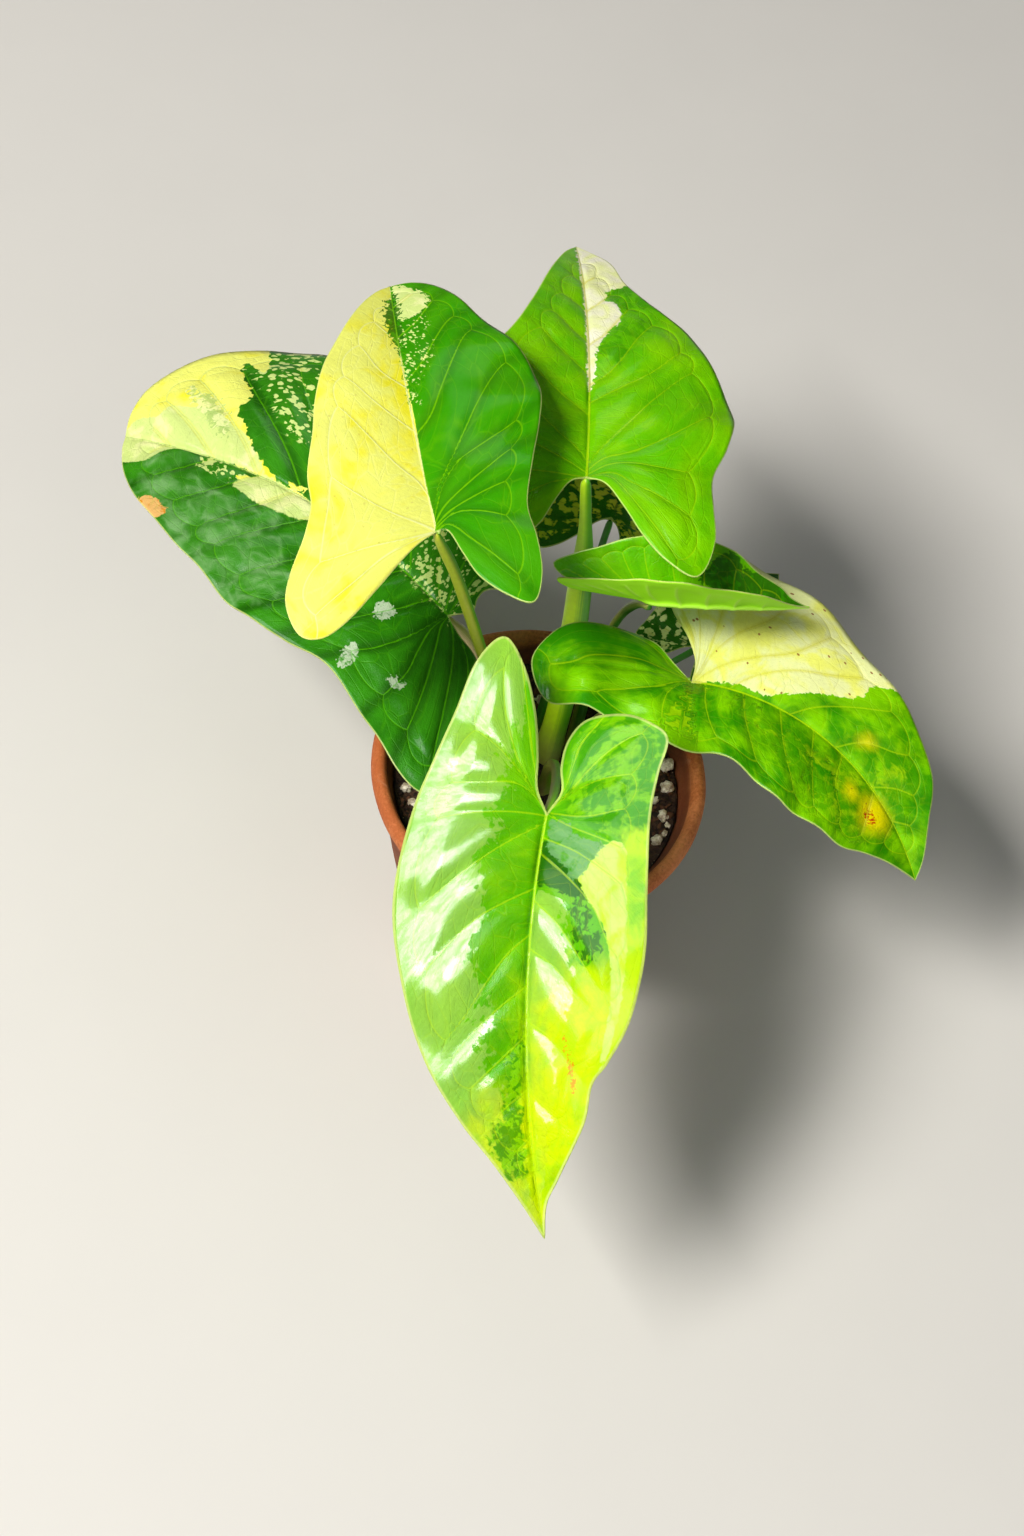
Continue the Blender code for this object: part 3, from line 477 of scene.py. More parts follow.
def blade_points(leaf, flat):
    """Where flat points of a blade lie once the blade is bent and placed."""
    along, right, up = (np.array(axis) for axis in tilted_axes(leaf))
    length, width = leaf["length"], leaf["half_width"]
    x, y = flat[:, 0], flat[:, 1]
    lean = np.where(y < 0, leaf["lobe_lean"] * -y, 0)
    x = x - lean
    half = (x > 0).astype(int)
    arch = np.radians(np.where(y > 0, leaf["arch"], leaf["lobe_arch"])) / length
    side = np.radians(np.where(y > 0, leaf["side"], 0)) / length
    reach, drop = bent(0, arch, y)
    run, sway = bent(0, side, reach)
    sway = sway + lean
    turn, tip = (side * y)[:, None], (arch * y)[:, None]
    ahead = np.cos(turn) * along + np.sin(turn) * right
    across = np.cos(turn) * right - np.sin(turn) * along
    face = np.sin(tip) * ahead + np.cos(tip) * up
    fold = np.radians(np.array(leaf["fold"], float))[half]
    curl = np.radians(np.array(leaf["curl"], float))[half] / width
    out, rise = bent(fold, curl, np.abs(x))
    ripple = np.sin(2 * np.pi * (leaf["waves"] * y / length + np.array(leaf["phase"])[half]))
    rise = rise + np.array(leaf["wave"])[half] * ripple * (x / width) ** 2
    spine = np.array(leaf["at"]) + run[:, None] * along + sway[:, None] * right - drop[:, None] * up
    return spine + np.copysign(out, x)[:, None] * across + rise[:, None] * face


def blade_lines(leaf, half):
    """Outer margin, midrib with the lobe's rib, and sinus margin of one half, as flat lines."""
    edge, lobe, sinus = leaf[half]
    outline = smooth_line([(0, leaf["length"]), *edge, *lobe, *sinus, (0, 0)])
    turn = (len(edge) + 1) * MARGIN_STEPS
    outer, sinus = outline[:turn + 1], outline[turn:][::-1]
    stations = np.linspace(TIP_SHARE, 1, LOBE_STATIONS + 1)
    inset = RIB_INSET * np.minimum(1, 3 * np.arange(LOBE_STATIONS + 1) / LOBE_STATIONS)[:, None]
    even_sinus = on_line(sinus, np.linspace(0, 1, LOBE_STATIONS + 1))
    rib = even_sinus + (on_line(outer, stations) - even_sinus) * inset
    return outer, smooth_line(rib), sinus


def add_grid(bm, along, across):
    """The vertices of a new grid, and how far each lies along and across it."""
    verts = bmesh.ops.create_grid(bm, x_segments=along, y_segments=across, size=1)["verts"]
    return verts, np.array([vert.co[:2] for vert in verts]) / 2 + 0.5


def strip(bm, spine, edge, along, across):
    """A grid between two flat lines, still unplaced, with the flat point of each vertex."""
    verts, place = add_grid(bm, along, across)
    low, high = spine(place[:, 0]), edge(place[:, 0])
    return verts, low + (high - low) * place[:, 1:] ** CROWDING


def half_strips(bm, leaf, half, detail):
    """The outer grid of half a blade, and the inner one beyond its lobe's rib."""
    outer, rib, sinus = blade_lines(leaf, half)
    lobe_steps = round(LOBE_STEPS * detail)

    def spine(share):
        midrib = np.stack([np.zeros_like(share), leaf["length"] * (1 - share / TIP_SHARE)], 1)
        lobe = on_line(rib, np.clip((share - TIP_SHARE) / (1 - TIP_SHARE), 0, 1))
        return np.where((share <= TIP_SHARE)[:, None], midrib, lobe)

    yield strip(bm, spine, lambda share: on_line(outer, share), round(lobe_steps / (1 - TIP_SHARE)),
                round(ACROSS * detail))
    yield strip(bm, lambda share: on_line(rib, share), lambda share: on_line(sinus, share),
                lobe_steps, round(INNER_ACROSS * detail))


def side_veins(leaf, half):
    """Side veins of half a blade: the traced ones, or plain ones from its outline alone."""
    traced = VEINS.get((leaf["name"], half))
    if traced:
        return [flat_points((0, *vein), HALVES[half]) for vein in traced]
    veins = []
    ends = on_line(blade_lines(leaf, half)[0], np.array(PLAIN_ENDS))
    for origin, end in zip(PLAIN_ORIGINS, ends):
        start = np.array((0, origin * leaf["length"]))
        middle = (start + end) / 2 + np.array((0, -PLAIN_SAG * abs(end[0])))
        veins.append((start, middle, end))
    return veins


def vein_field(flat, veins, sign):
    """A number that passes a whole one at each side vein, and the space between two veins."""
    aside = []
    for vein in veins:
        line = smooth_line(vein, LINE_STEPS)
        far = line[-1] + (line[-1] - line[-2]) / np.linalg.norm(line[-1] - line[-2]) * VEIN_REACH
        start = (-sign * VEIN_REACH, line[0][1])
        aside.append(beside(flat, np.vstack([start, line, far])) * -sign)
    ends = np.full(len(flat), float(MARGIN_SPACING))
    aside = np.stack([ends, *aside, -ends], 1)
    aside[:, 0] = np.maximum(MARGIN_SPACING + aside[:, 1], LEAST_SPACE)
    passed = (aside[:, 1:-1] > 0).sum(1)
    rows = np.arange(len(flat))
    before, after = aside[rows, passed], aside[rows, passed + 1]
    last = np.minimum(before - MARGIN_SPACING, -LEAST_SPACE)
    space = np.maximum(before - np.where(passed == len(veins), last, after), LEAST_SPACE / 10)
    return passed + np.clip(before / space, 0, 1), space


def margin_distances(leaf, half, flat):
    """How far each flat point lies from the blade's outer edge, and from any of its edge."""
    outer, _, sinus = blade_lines(leaf, half)
    rim = np.abs(beside(flat, outer))
    return rim, np.minimum(rim, np.abs(beside(flat, sinus)))


def face_normals(leaf, flat):
    """The way the upper side faces at each flat point, rounded off over the midrib's fold."""
    right, ahead = (blade_points(leaf, flat + probe) - blade_points(leaf, flat - probe)
                    for probe in np.array([(RIB_PROBE, 0), (0, PROBE)]))
    normal = np.cross(right, ahead)
    return normal / np.linalg.norm(normal, axis=1)[:, None]


def smooth_step(value, low, high):
    share = np.clip((value - low) / (high - low), 0, 1)
    return share * share * (3 - 2 * share)


def relief(leaf, flat, number, space, rim, margin, blades):
    """How far the upper side swells between the veins, and sinks or stands along the midrib."""
    look, loop = LOOKS[leaf["name"]], LOOP_SHARE * leaf["half_width"]
    pillow = np.sin(np.pi * (number % 1)) ** 0.6 * np.minimum(1, space / 12) ** 1.6
    fade = smooth_step(margin, 0.5, 5) * (0.25 + 0.75 * smooth_step(rim, loop - 1, loop + 4))
    swell = blades.quilt / MM * look.quilt * pillow * fade
    groove = blades.rib_groove / MM * look.groove * np.exp(-(flat[:, 0] / RIB_WIDTH) ** 2)
    ends = smooth_step(flat[:, 1], -4, 6) * smooth_step(leaf["length"] - flat[:, 1], 2, 30)
    return swell * smooth_step(np.abs(flat[:, 0]), 0, 2.5) - groove * ends


def wall_share(leaf, flat, number, space, margin):
    """Thickness of the blade, as a share of the midrib's: thin at the edge, thick at the veins."""
    thin = EDGE_SHARE + (BLADE_SHARE - EDGE_SHARE) * smooth_step(margin, 0, 5)
    vein = np.minimum(number % 1, 1 - number % 1) * space
    ridge = VEIN_SHARE * np.exp(-(vein / 0.9) ** 2) * smooth_step(margin, 1, 9)
    taper = np.clip(1 - flat[:, 1] / leaf["length"], 0, 1) ** 0.7
    reach = smooth_step(flat[:, 1], -5, 1)
    midrib = (1 - BLADE_SHARE) * taper * reach * np.exp(-(flat[:, 0] / RIB_WIDTH) ** 2)
    return np.minimum(1, thin + ridge + midrib)


def fill_strip(bm, verts, flat, leaf, half, layers, blades):
    """Bends one flat grid into place and gives its vertices what the finish reads."""
    number, space = vein_field(flat, side_veins(leaf, half), HALVES[half])
    rim, margin = margin_distances(leaf, half, flat)
    normals = face_normals(leaf, flat)
    lift = BLADE_HALF + relief(leaf, flat, number, space, rim, margin, blades)
    places = (blade_points(leaf, flat) + normals * lift[:, None]) * MM
    shares = wall_share(leaf, flat, number, space, margin)
    patches = [np.max([inside(flat, flat_points(outline)) for outline in outlines], axis=0)
               for outlines in PATCHES.get(leaf["name"], {}).values()]
    patches += [np.zeros(len(flat))] * (-len(patches) % 3)
    for k, vert in enumerate(verts):
        vert.co = places[k]
        vert[layers["flat"]] = (*flat[k], margin[k])
        vert[layers["rim"]] = rim[k]
        vert[layers["wall"]][0] = shares[k]
        for first in range(0, len(patches), 3):
            vert[layers[f"patch_{first // 3}"]] = [patch[k] for patch in patches[first:first + 3]]
    marks = {vert: (number[k], space[k]) for k, vert in enumerate(verts)}
    faces = list({face for vert in verts for face in vert.link_faces})
    for face in faces:
        for loop in face.loops:
            loop[layers["veins"]].uv = marks[loop.vert]
        face.normal_update()
    upward = {vert: Vector(normals[k]) for k, vert in enumerate(verts)}
    if sum(face.normal.dot(upward[face.verts[0]]) for face in faces) < 0:
        bmesh.ops.reverse_faces(bm, faces=faces)


def add_object(name, data):
    """A new object of the scene that shows the given mesh, light or camera."""
    added = bpy.data.objects.new(name, data)
    bpy.context.scene.collection.objects.link(added)
    return added


def add_mesh(name, bm, finishes=()):
    """A bmesh as a new object."""
    mesh = bpy.data.meshes.new(name)
    bm.to_mesh(mesh)
    bm.free()
    for finish in finishes:
        mesh.materials.append(finish)
    return add_object(name, mesh)


def make_piece(name, bm, finishes, slot, nodes=()):
    """A bmesh as a finished piece that rides on the one body."""
    piece = add_mesh(name, bm, finishes)
    piece.data.shade_smooth()
    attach(piece, "root")
    if nodes:
        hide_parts(*nodes)
    return piece


def patch_layers(name):
    """Numbers of the layers that hold a blade's patches, three to each."""
    return range(-(-len(PATCHES.get(name, {})) // 3))


def make_blade(name, leaf, blades, colours):
    """One blade: four welded grids, thickened from their upper side down."""
    bm = bmesh.new()
    layers = {"flat": bm.verts.layers.float_vector.new("flat"),
              "rim": bm.verts.layers.float.new("rim"),
              "wall": bm.verts.layers.deform.verify(), "veins": bm.loops.layers.uv.new("veins")}
    for k in patch_layers(name):
        layers[f"patch_{k}"] = bm.verts.layers.float_vector.new(f"patch_{k}")
    detail = min(1, max(0.5, leaf["length"] / DETAIL_LENGTH))
    for half in HALVES:
        for verts, flat in half_strips(bm, leaf, half, detail):
            fill_strip(bm, verts, flat, leaf, half, layers, blades)
    bmesh.ops.remove_doubles(bm, verts=bm.verts, dist=SEAM * MM)
    border = [vert for vert in bm.verts if vert.is_boundary]
    bmesh.ops.remove_doubles(bm, verts=border, dist=WELD * MM)
    bmesh.ops.dissolve_degenerate(bm, edges=bm.edges, dist=SEAM * MM)
    finishes = (upper_finish(name, leaf, blades, colours), under_finish(name, colours))
    piece = make_piece(name + "_blade", bm, finishes, name, [name])
    piece.vertex_groups.new(name="wall")
    wall = piece.modifiers.new("Thickness", "SOLIDIFY")
    wall.thickness = RIB_THICKNESS * MM
    wall.offset = -1
    wall.vertex_group = "wall"
    wall.material_offset = 1


class Signal:
    """A shader socket that plain sums can be written with."""

    def __init__(self, finish, socket):
        self.finish, self.socket = finish, socket

    def maths(self, operation, *values):
        return self.finish.node("ShaderNodeMath", {"operation": operation},
                                dict(enumerate(values)))

    def __add__(self, other):
        return self.maths("ADD", self, other)

    __radd__ = __add__

    def __sub__(self, other):
        return self.maths("SUBTRACT", self, other)

    def __rsub__(self, other):
        return self.maths("SUBTRACT", other, self)

    def __mul__(self, other):
        return self.maths("MULTIPLY", self, other)

    __rmul__ = __mul__

    def __truediv__(self, other):
        return self.maths("DIVIDE", self, other)

    def __rtruediv__(self, other):
        return self.maths("DIVIDE", other, self)

    def __pow__(self, other):
        return self.maths("POWER", self, other)

    def __abs__(self):
        return self.maths("ABSOLUTE", self)

    def least(self, other):
        return self.maths("MINIMUM", self, other)

    def most(self, other):
        return self.maths("MAXIMUM", self, other)

    def step(self, low, high):
        """0 up to low, 1 past high, and a smooth rise between; high may be the lower one."""
        return self.finish.node("ShaderNodeMapRange", {"interpolation_type": "SMOOTHSTEP"},
                                {0: self, 1: low, 2: high, 3: 0.0, 4: 1.0})


class Finish:
    """One material in the making."""

    def __init__(self, name, **constants):
        self.material = bpy.data.materials.new(name)
        self.material.use_nodes = True
        self.tree = self.material.node_tree
        self.shader = self.tree.nodes["Principled BSDF"]
        for socket, value in constants.items():
            self.shader.inputs[socket.replace("_", " ")].default_value = value

    def join(self, value, socket):
        if isinstance(value, Signal):
            self.tree.links.new(value.socket, socket)
        elif socket.type == "RGBA":
            socket.default_value = (*value[:3], 1)
        else:
            socket.default_value = value

    def node(self, kind, settings=None, inputs=None, output=0):
        """One output of a new node of the given kind, settings and inputs."""
        made = self.tree.nodes.new(kind)
        for key, value in (settings or {}).items():
            setattr(made, key, value)
        for key, value in (inputs or {}).items():
            self.join(value, made.inputs[key])
        return Signal(self, made.outputs[output])

    def attribute(self, name, output="Vector"):
        return self.node("ShaderNodeAttribute", {"attribute_name": name}, output=output)

    def spot(self):
        """The place on the object, in millimetres."""
        place = self.node("ShaderNodeTexCoord", output="Object")
        return self.node("ShaderNodeVectorMath", {"operation": "SCALE"},
                         {0: place, "Scale": 1 / MM})

    def parts(self, vector):
        made = self.node("ShaderNodeSeparateXYZ", inputs={0: vector}).socket.node
        return [Signal(self, socket) for socket in made.outputs]

    def vector(self, x, y, z=0.0):
        return self.node("ShaderNodeCombineXYZ", inputs={0: x, 1: y, 2: z})

    def clouds(self, vector, size, detail=3.0, roughness=0.55, warp=0.0):
        """Soft noise between 0 and 1 with features of the given size."""
        return self.node("ShaderNodeTexNoise", inputs={
            "Vector": vector, "Scale": 1 / size, "Detail": detail, "Roughness": roughness,
            "Distortion": warp})

    def cells(self, vector, size, feature="F1"):
        return self.node("ShaderNodeTexVoronoi", {"feature": feature},
                         {"Vector": vector, "Scale": 1 / size})

    def mix(self, share, first, second):
        """A colour that goes from the first to the second."""
        return self.node("ShaderNodeMix", {"data_type": "RGBA"}, {0: share, 6: first, 7: second}, 2)

    def mottled(self, main, stray, amount, low, high, first, second):
        """Two colours in blotches of the main noise, with borders that stray with another."""
        return self.mix((main + (stray - 0.5) * amount).step(low, high), first, second)

    def veins(self):
        """The count of side veins, the space between two, and the distance from the nearest."""
        number, space, _ = self.parts(self.node("ShaderNodeUVMap", {"uv_map": "veins"}))
        between = number.maths("FRACT", number)
        return number, space, between.least(1 - between) * space

    def blend_number(self, share, first, second):
        """A number that goes from the first to the second."""
        return self.node("ShaderNodeMix", inputs={0: share, 2: first, 3: second})

    def vary(self, colour, light):
        """A colour made lighter or darker."""
        return self.node("ShaderNodeHueSaturation", inputs={"Color": colour, "Value": light})

    def bump(self, height, depth, strength=1.0):
        self.join(self.node("ShaderNodeBump", inputs={
            "Height": height, "Distance": depth * MM, "Strength": strength}),
            self.shader.inputs["Normal"])

    def set(self, **sockets):
        for socket, value in sockets.items():
            self.join(value, self.shader.inputs[socket.replace("_", " ")])
        return self.material


def paint(red, green, blue):
    """A colour given as a screen shows it, as the light it stands for."""
    return tuple((c / 255 / 12.92) if c < 11 else ((c / 255 + 0.055) / 1.055) ** 2.4
                 for c in (red, green, blue))


class Patch(NamedTuple):
    """Colouring of one patch, with lengths in millimetres."""
    first: str
    second: str
    soft: float = 0.2  # softness of its edge
    ragged: float = 1.2  # how far its edge wanders
    grain: float = 2.5  # size of that wandering
    mottle: float = 12  # size of the spots of the second tone
    level: float = 0.5  # the higher, the less of the second tone
    blur: float = 0.12  # softness of those spots
    strength: float = 1.0
    streaky: float = 0.3  # how far the spots stretch along the side veins
    flecks: bool = False  # round flecks, the nearer together the lower the level


class Look(NamedTuple):
    """Colouring of one blade."""
    deep: str  # the deep and fresh tones of its ground
    fresh: str
    vein: str  # the tones of its veins on green and on pale places
    pale_vein: str
    vein_share: float  # how strongly they show
    quilt: float  # how strongly it is quilted
    groove: float  # how far its midrib sinks, or stands if negative
    patches: dict
    coat: float = 0.2
    shine: float = 0.06
    under: float = 0.35  # how green its underside is
    under_tone: str = ""  # tone of that green, or its fresh one
    ground: tuple = (0.3, 0.75)  # where the fresh tone begins and fills the ground
    flank: float = 0.14  # how much darker it is between its veins; where negative, how much darker beside its veins, as painted shade in the quilt's creases
    crease: float = 0.3  # depth of the line over each side vein
    texture: float = 0.9  # strength of the fine relief
    specks: float = 0.0  # how strongly rusty specks show
    edge: float = 1.0  # width of the thin line round it
    coat_index: float = 1.5
    bloom: float = 0.0  # how strongly its outer flanks turn pale where the glare falls: partly a pale bloom, partly painted sheen


LOOKS = {
    "front_leaf": Look("lime_deep", "lime", "lime_pale", "lime", 0.4, 0.85, 0.9, {
        "lobe": Patch("leaf_green", "lime", 4, 7, 6, 6, 0.5, 0.12, 0.7, 1.4),
        "butter": Patch("yellow_lime", "lime_pale", 12, 6, 9, 10, 0.55, 0.15, 0.9),
        "brim": Patch("lime_pale", "lime", 2.0, 1.4, 4, 9, 0.62, 0.2, 0.85),
        "lime": Patch("pale_lime", "lime_pale", 0.3, 0.6, 4, 10, 0.56, 0.16, 0.95),
        "dark": Patch("dark_green", "moss", 0.4, 0.9, 2.6, 7, 0.5, 0.14, 1.0, 0.6),
        "blotch": Patch("mid_green", "moss", 0.7, 2.4, 2.6, 3.4, 0.45, 0.06, 0.95, 0.3),
        # The sheen patch paints the pale cool sheen of glare over dark green.
        "sheen": Patch("blue_green", "grass", 0.4, 1.2, 3.0, 5, 0.58, 0.14, 0.85, 1.0),
        "speckle": Patch("lime", "grass", 1.5, 3, 3.0, 3.2, 0.49, 0.06, 0.9, 1.2),
        "scorch": Patch("amber", "lime_pale", 0.4, 1.1, 1.4, 1.6, 0.56, 0.06, 0.85),
    }, coat=1.0, shine=0.04, ground=(0.38, 0.85), edge=2.4, coat_index=1.8, bloom=0.26),
    "right_leaf": Look("leaf_green", "lime", "lime_pale", "gold", 0.4, 0.6, -0.25, {
        "glow": Patch("lime_pale", "leaf_green", 5, 7, 6, 6, 0.38, 0.16, 0.6, 1.0),
        "cream": Patch("butter", "cream", 0.15, 0.9, 2.6, 12, 0.47, 0.12),
        "halo": Patch("sun", "sun", 5.0, 1.0, 4, 3, 0.6, 0.1, 1.0),
        "rust": Patch("ember", "sun", 0.9, 2.6, 1.3, 1.4, 0.56, 0.06),
        "stain": Patch("olive", "rust", 1.0, 1.6, 2, 2, 0.5, 0.06, 0.25),
    }, coat=0.3, ground=(0.38, 0.66), flank=-0.2, texture=0.7, specks=0.9),
    # Painted light: the folded leaf is painted in brighter greens, its near strip brightest above
    # and below, to make up for the shade it stands in.
    "folded_leaf": Look("mid_green", "lime", "lime_pale", "lime", 0.3, 0.5, 0.2, {
        "near": Patch("lime", "lime_pale", 0.6, 0.6, 4, 14, 0.5, 0.16, 0.9),
        "dark": Patch("moss", "leaf_green", 0.4, 1.4, 2.6, 4, 0.56, 0.06, 0.95),
    }, coat=0.3, shine=0.1, under=1.0, under_tone="spring"),
    "back_leaf": Look("mid_green", "lime", "lime_pale", "gold", 0.3, 1.0, -0.4, {
        "fresh": Patch("mid_green", "leaf_green", 1.5, 3, 5, 8, 0.5, 0.08, 0.7),
        "cream": Patch("cream", "ivory", 0.15, 1.2, 2.4, 12, 0.5, 0.2),
    }, flank=-0.12),
    "yellow_leaf": Look("leaf_green", "grass", "lime", "cream", 0.65, 0.22, -0.5, {
        "butter": Patch("butter", "yellow", 0.12, 0.15, 3, 20, 0.58, 0.14),
        "speckle": Patch("leaf_green", "sage", 0.8, 3.0, 1.8, 1.9, 0.64, 0.03, 0.97, 0.9, True),
        "cream": Patch("sage", "cream", 0.12, 1.6, 2.0, 8, 0.6, 0.12),
        "green": Patch("moss", "leaf_green", 0.2, 2.4, 2.2, 3, 0.56, 0.05, 0.95),
    }, ground=(0.4, 0.62), flank=-0.3, crease=-0.3, texture=0.5, specks=0.18),
    "left_leaf": Look("dark_green", "deep_green", "mid_green", "sage", 0.6, 1.3, 0.1, {
        # The sheen patch paints a silvery sheen of reflection over the dark green.
        "sheen": Patch("jade", "silver_green", 8, 8, 9, 9, 0.56, 0.22, 0.64, 0.3),
        "lobe": Patch("deep_green", "sage", 1.5, 4, 2.2, 2.4, 0.64, 0.05, 0.9, 1.8, True),
        "speckle": Patch("deep_green", "sage", 0.8, 3, 2.6, 3.2, 0.63, 0.025, 0.97, 0.7, True),
        "cream": Patch("butter", "yellow", 0.12, 1.3, 4.0, 14, 0.62, 0.14),
        "pale": Patch("sage", "cream", 0.4, 0.6, 3, 12, 0.6, 0.1, 0.95),
        "mint": Patch("mint", "cream", 0.3, 2.6, 2.2, 3, 0.5, 0.06, 0.75, 0.8),
        "scorch": Patch("peach", "amber", 0.3, 0.9, 2.2, 3, 0.58, 0.1, 0.9),
        "silver": Patch("silver", "jade", 0.15, 1.2, 1.8, 2.4, 0.6, 0.1, 0.85),
    }, coat=0.3, shine=0.1, under=0.3, flank=-0.55),
    "low_back_leaf": Look("dark_green", "moss", "moss", "gold", 0.3, 0.8, 0.2, {
        "butter": Patch("moss", "gold", 1.5, 5, 2.4, 4.5, 0.53, 0.06, 0.95, 0.8, True),
    }, shine=0.2),
    "low_right_leaf": Look("dark_green", "moss", "moss", "gold", 0.3, 0.8, 0.2, {
        "cream": Patch("moss", "cream", 1.5, 5, 2.2, 4, 0.55, 0.05, 0.95, 0.8, True),
    }, shine=0.2),
}
PALE_TONES = ("pale_lime", "butter", "yellow", "cream", "ivory", "sage", "sun")


def patched(finish, name, colour, tone, flat, streak):
    """The ground with its patches painted over, and how pale each place has become."""
    keys = list(PATCHES.get(name, {}))
    fields = [finish.parts(finish.attribute(f"patch_{k}")) for k in patch_layers(name)]
    pale = 0.0
    for key, patch in LOOKS[name].patches.items():
        place = keys.index(key)
        near = fields[place // 3][place % 3]
        rough = finish.clouds(flat, patch.grain, 2.0, 0.5, 0.6)
        broad = (finish.clouds(flat, patch.mottle * 5, 1.0) - 0.5) * 0.5
        if patch.flecks:
            spots = (0.9 - finish.cells(flat, patch.mottle) * 0.7 + broad
                     + (finish.clouds(flat, patch.mottle * 0.7, 1.0) - 0.5) * 0.7)
        else:
            spots = finish.clouds(flat, patch.mottle, 2.5, 0.5, 0.8) + broad
        spots = spots + (streak - 0.5) * patch.streaky
        near = near + (rough - 0.5) * (4 * patch.ragged)
        here = near.step(-patch.soft, patch.soft) * patch.strength
        broken = spots.step(patch.level - patch.blur, patch.level + patch.blur)
        colour = finish.mix(here, colour, finish.mix(broken, tone[patch.first], tone[patch.second]))
        share = broken * (patch.second in PALE_TONES) + (1 - broken) * (patch.first in PALE_TONES)
        pale = finish.blend_number(here, pale, share)
    return colour, pale


def upper_finish(name, leaf, blades, colours):
    """The glossy upper side: ground, patches, veins, margin, cells and their relief."""
    look = LOOKS[name]
    finish = Finish(name + "_upper", Coat_Roughness=0.14, Coat_IOR=look.coat_index,
                    Specular_IOR_Level=look.shine)
    flat = finish.attribute("flat")
    x, y, margin = finish.parts(flat)
    rim = finish.attribute("rim", "Fac")
    number, space, vein = finish.veins()
    tone = {key: getattr(colours, key) for key in LeafColours.__annotations__}
    grain = finish.clouds(flat, 1.5, 4.0)
    broad = finish.clouds(flat, 22, 3.0)
    streak = finish.clouds(finish.vector(number * 2.2, margin / 11), 1.0, 3.0, 0.6)
    ground = finish.mottled(broad, streak, 0.5, *look.ground, tone[look.deep], tone[look.fresh])
    # Painted shade where flank is negative: the ground darkens beside the side veins, standing for
    # shade in the quilt's creases.
    ground = finish.vary(ground, 1 + look.flank / 2 - vein.step(0.2, 4.5) * look.flank)
    wrinkle = finish.clouds(finish.vector(number * 14, margin / 3), 1.0, 4.0)
    side, bloom = abs(x), 1.0
    if look.bloom:
        way = rim / (rim + side)
        left_way = 1.16 - way + y.step(31.0, 25.0) * 0.5 + y.step(64.0, 48.0) * 0.1
        way = finish.blend_number(x.step(-3.0, 3.0), left_way, way)
        torn = (streak - 0.5) * 0.6 + (finish.clouds(flat, 3.0, 3.0) - 0.5) * 0.35
        bloom = (way + torn).step(0.62, 0.57)
        # Partly a pale bloom, partly painted sheen: the ground turns towards a pale tint in the
        # flanks where the window's glare falls.
        ground = finish.mix(bloom * look.bloom, ground, tone["satin"])
        creases = finish.clouds(finish.vector(number * 7, margin / 6), 1.0, 3.0, 0.6, 1.0)
        for breaks, low, high, share in ((creases, 0.36, 0.54, 0.5), (wrinkle, 0.32, 0.58, 0.4),
                                         (vein, 0.3, 1.4, 0.6), (rim, 0.0, 5.0, 0.4)):
            bloom = bloom * (breaks.step(low, high) * share + (1 - share))
    colour, pale = patched(finish, name, ground, tone, flat, streak)
    loop_at = LOOP_SHARE * leaf["half_width"]
    rib_width = (1 - y / leaf["length"]).most(0.0) ** 0.6 * 0.48 + 0.13
    midrib = (side / rib_width).step(1.15, 0.6) * y.step(-3.0, 1.0)
    inner = rim.step(loop_at - 0.4, loop_at + 0.4)
    slim = 0.4 - (side / leaf["half_width"]).least(1.0) * 0.22
    lateral = (vein / slim).step(1.3, 0.4) * inner
    scallop = number.maths("SINE", number * math.pi)
    bay = loop_at * (1 - abs(scallop) ** 0.8 * 0.32)
    collective = abs(rim - bay).step(0.42, 0.1) * space.step(4.5, 8.0)
    net = finish.cells(finish.vector(number * 1.6, margin / 5.0), 1.0, "DISTANCE_TO_EDGE")
    small = net.step(0.05, 0.0) * space.step(5.0, 10.0) * margin.step(1.0, 4.0)
    lines = lateral.most(collective * 0.75).most(small * 0.25)
    line_tone = finish.mix(pale, tone[look.vein], tone[look.pale_vein])
    # Painted shade: a thin gold fringe beside the side veins on pale places, standing for the shade
    # along the raised veins.
    colour = finish.mix((vein / 1.3).step(1.1, 0.2) * inner * pale * (space.step(3.0, 9.0) * 0.4),
                        colour, tone["gold"])
    colour = finish.mix((lines * look.vein_share).most(midrib * 0.65), colour, line_tone)
    edge = margin.step(0.5 * look.edge, 0.2 * look.edge)
    colour = finish.mix(edge * 0.6, colour, tone["margin"])
    colour = finish.vary(colour, grain * 0.2 + 0.9)
    speckled = finish.clouds(flat, 18).step(0.36, 0.42) * pale
    specks = finish.cells(flat, 5).step(0.13, 0.09) * speckled
    colour = finish.mix(specks * look.specks, colour, tone["rust"])
    pits = finish.cells(flat, 0.6)
    ripple = finish.clouds(finish.vector(number * 6, margin / 7), 1.0, 3.0)
    crease = (vein / 0.9).step(1.2, 0.0) * inner
    height = (pits * 0.25 + grain * 0.35 - crease * look.crease + lateral * 0.35 + midrib * 0.8
              - collective * 0.3 - abs(rim - bay).step(1.5, 0.0) * 0.6 - small * 0.3 + ripple
              + wrinkle * 0.5 + finish.clouds(flat, 5.0, 2.0) * 0.6)
    finish.bump(height, blades.relief / MM, look.texture)
    gloss = finish.clouds(flat, 9, 3.0)
    return finish.set(Base_Color=colour, Roughness=gloss * 0.2 + blades.gloss_floor,
                      Coat_Weight=(gloss * 0.5 + 0.7) * (bloom * 0.9 + 0.1) * look.coat)


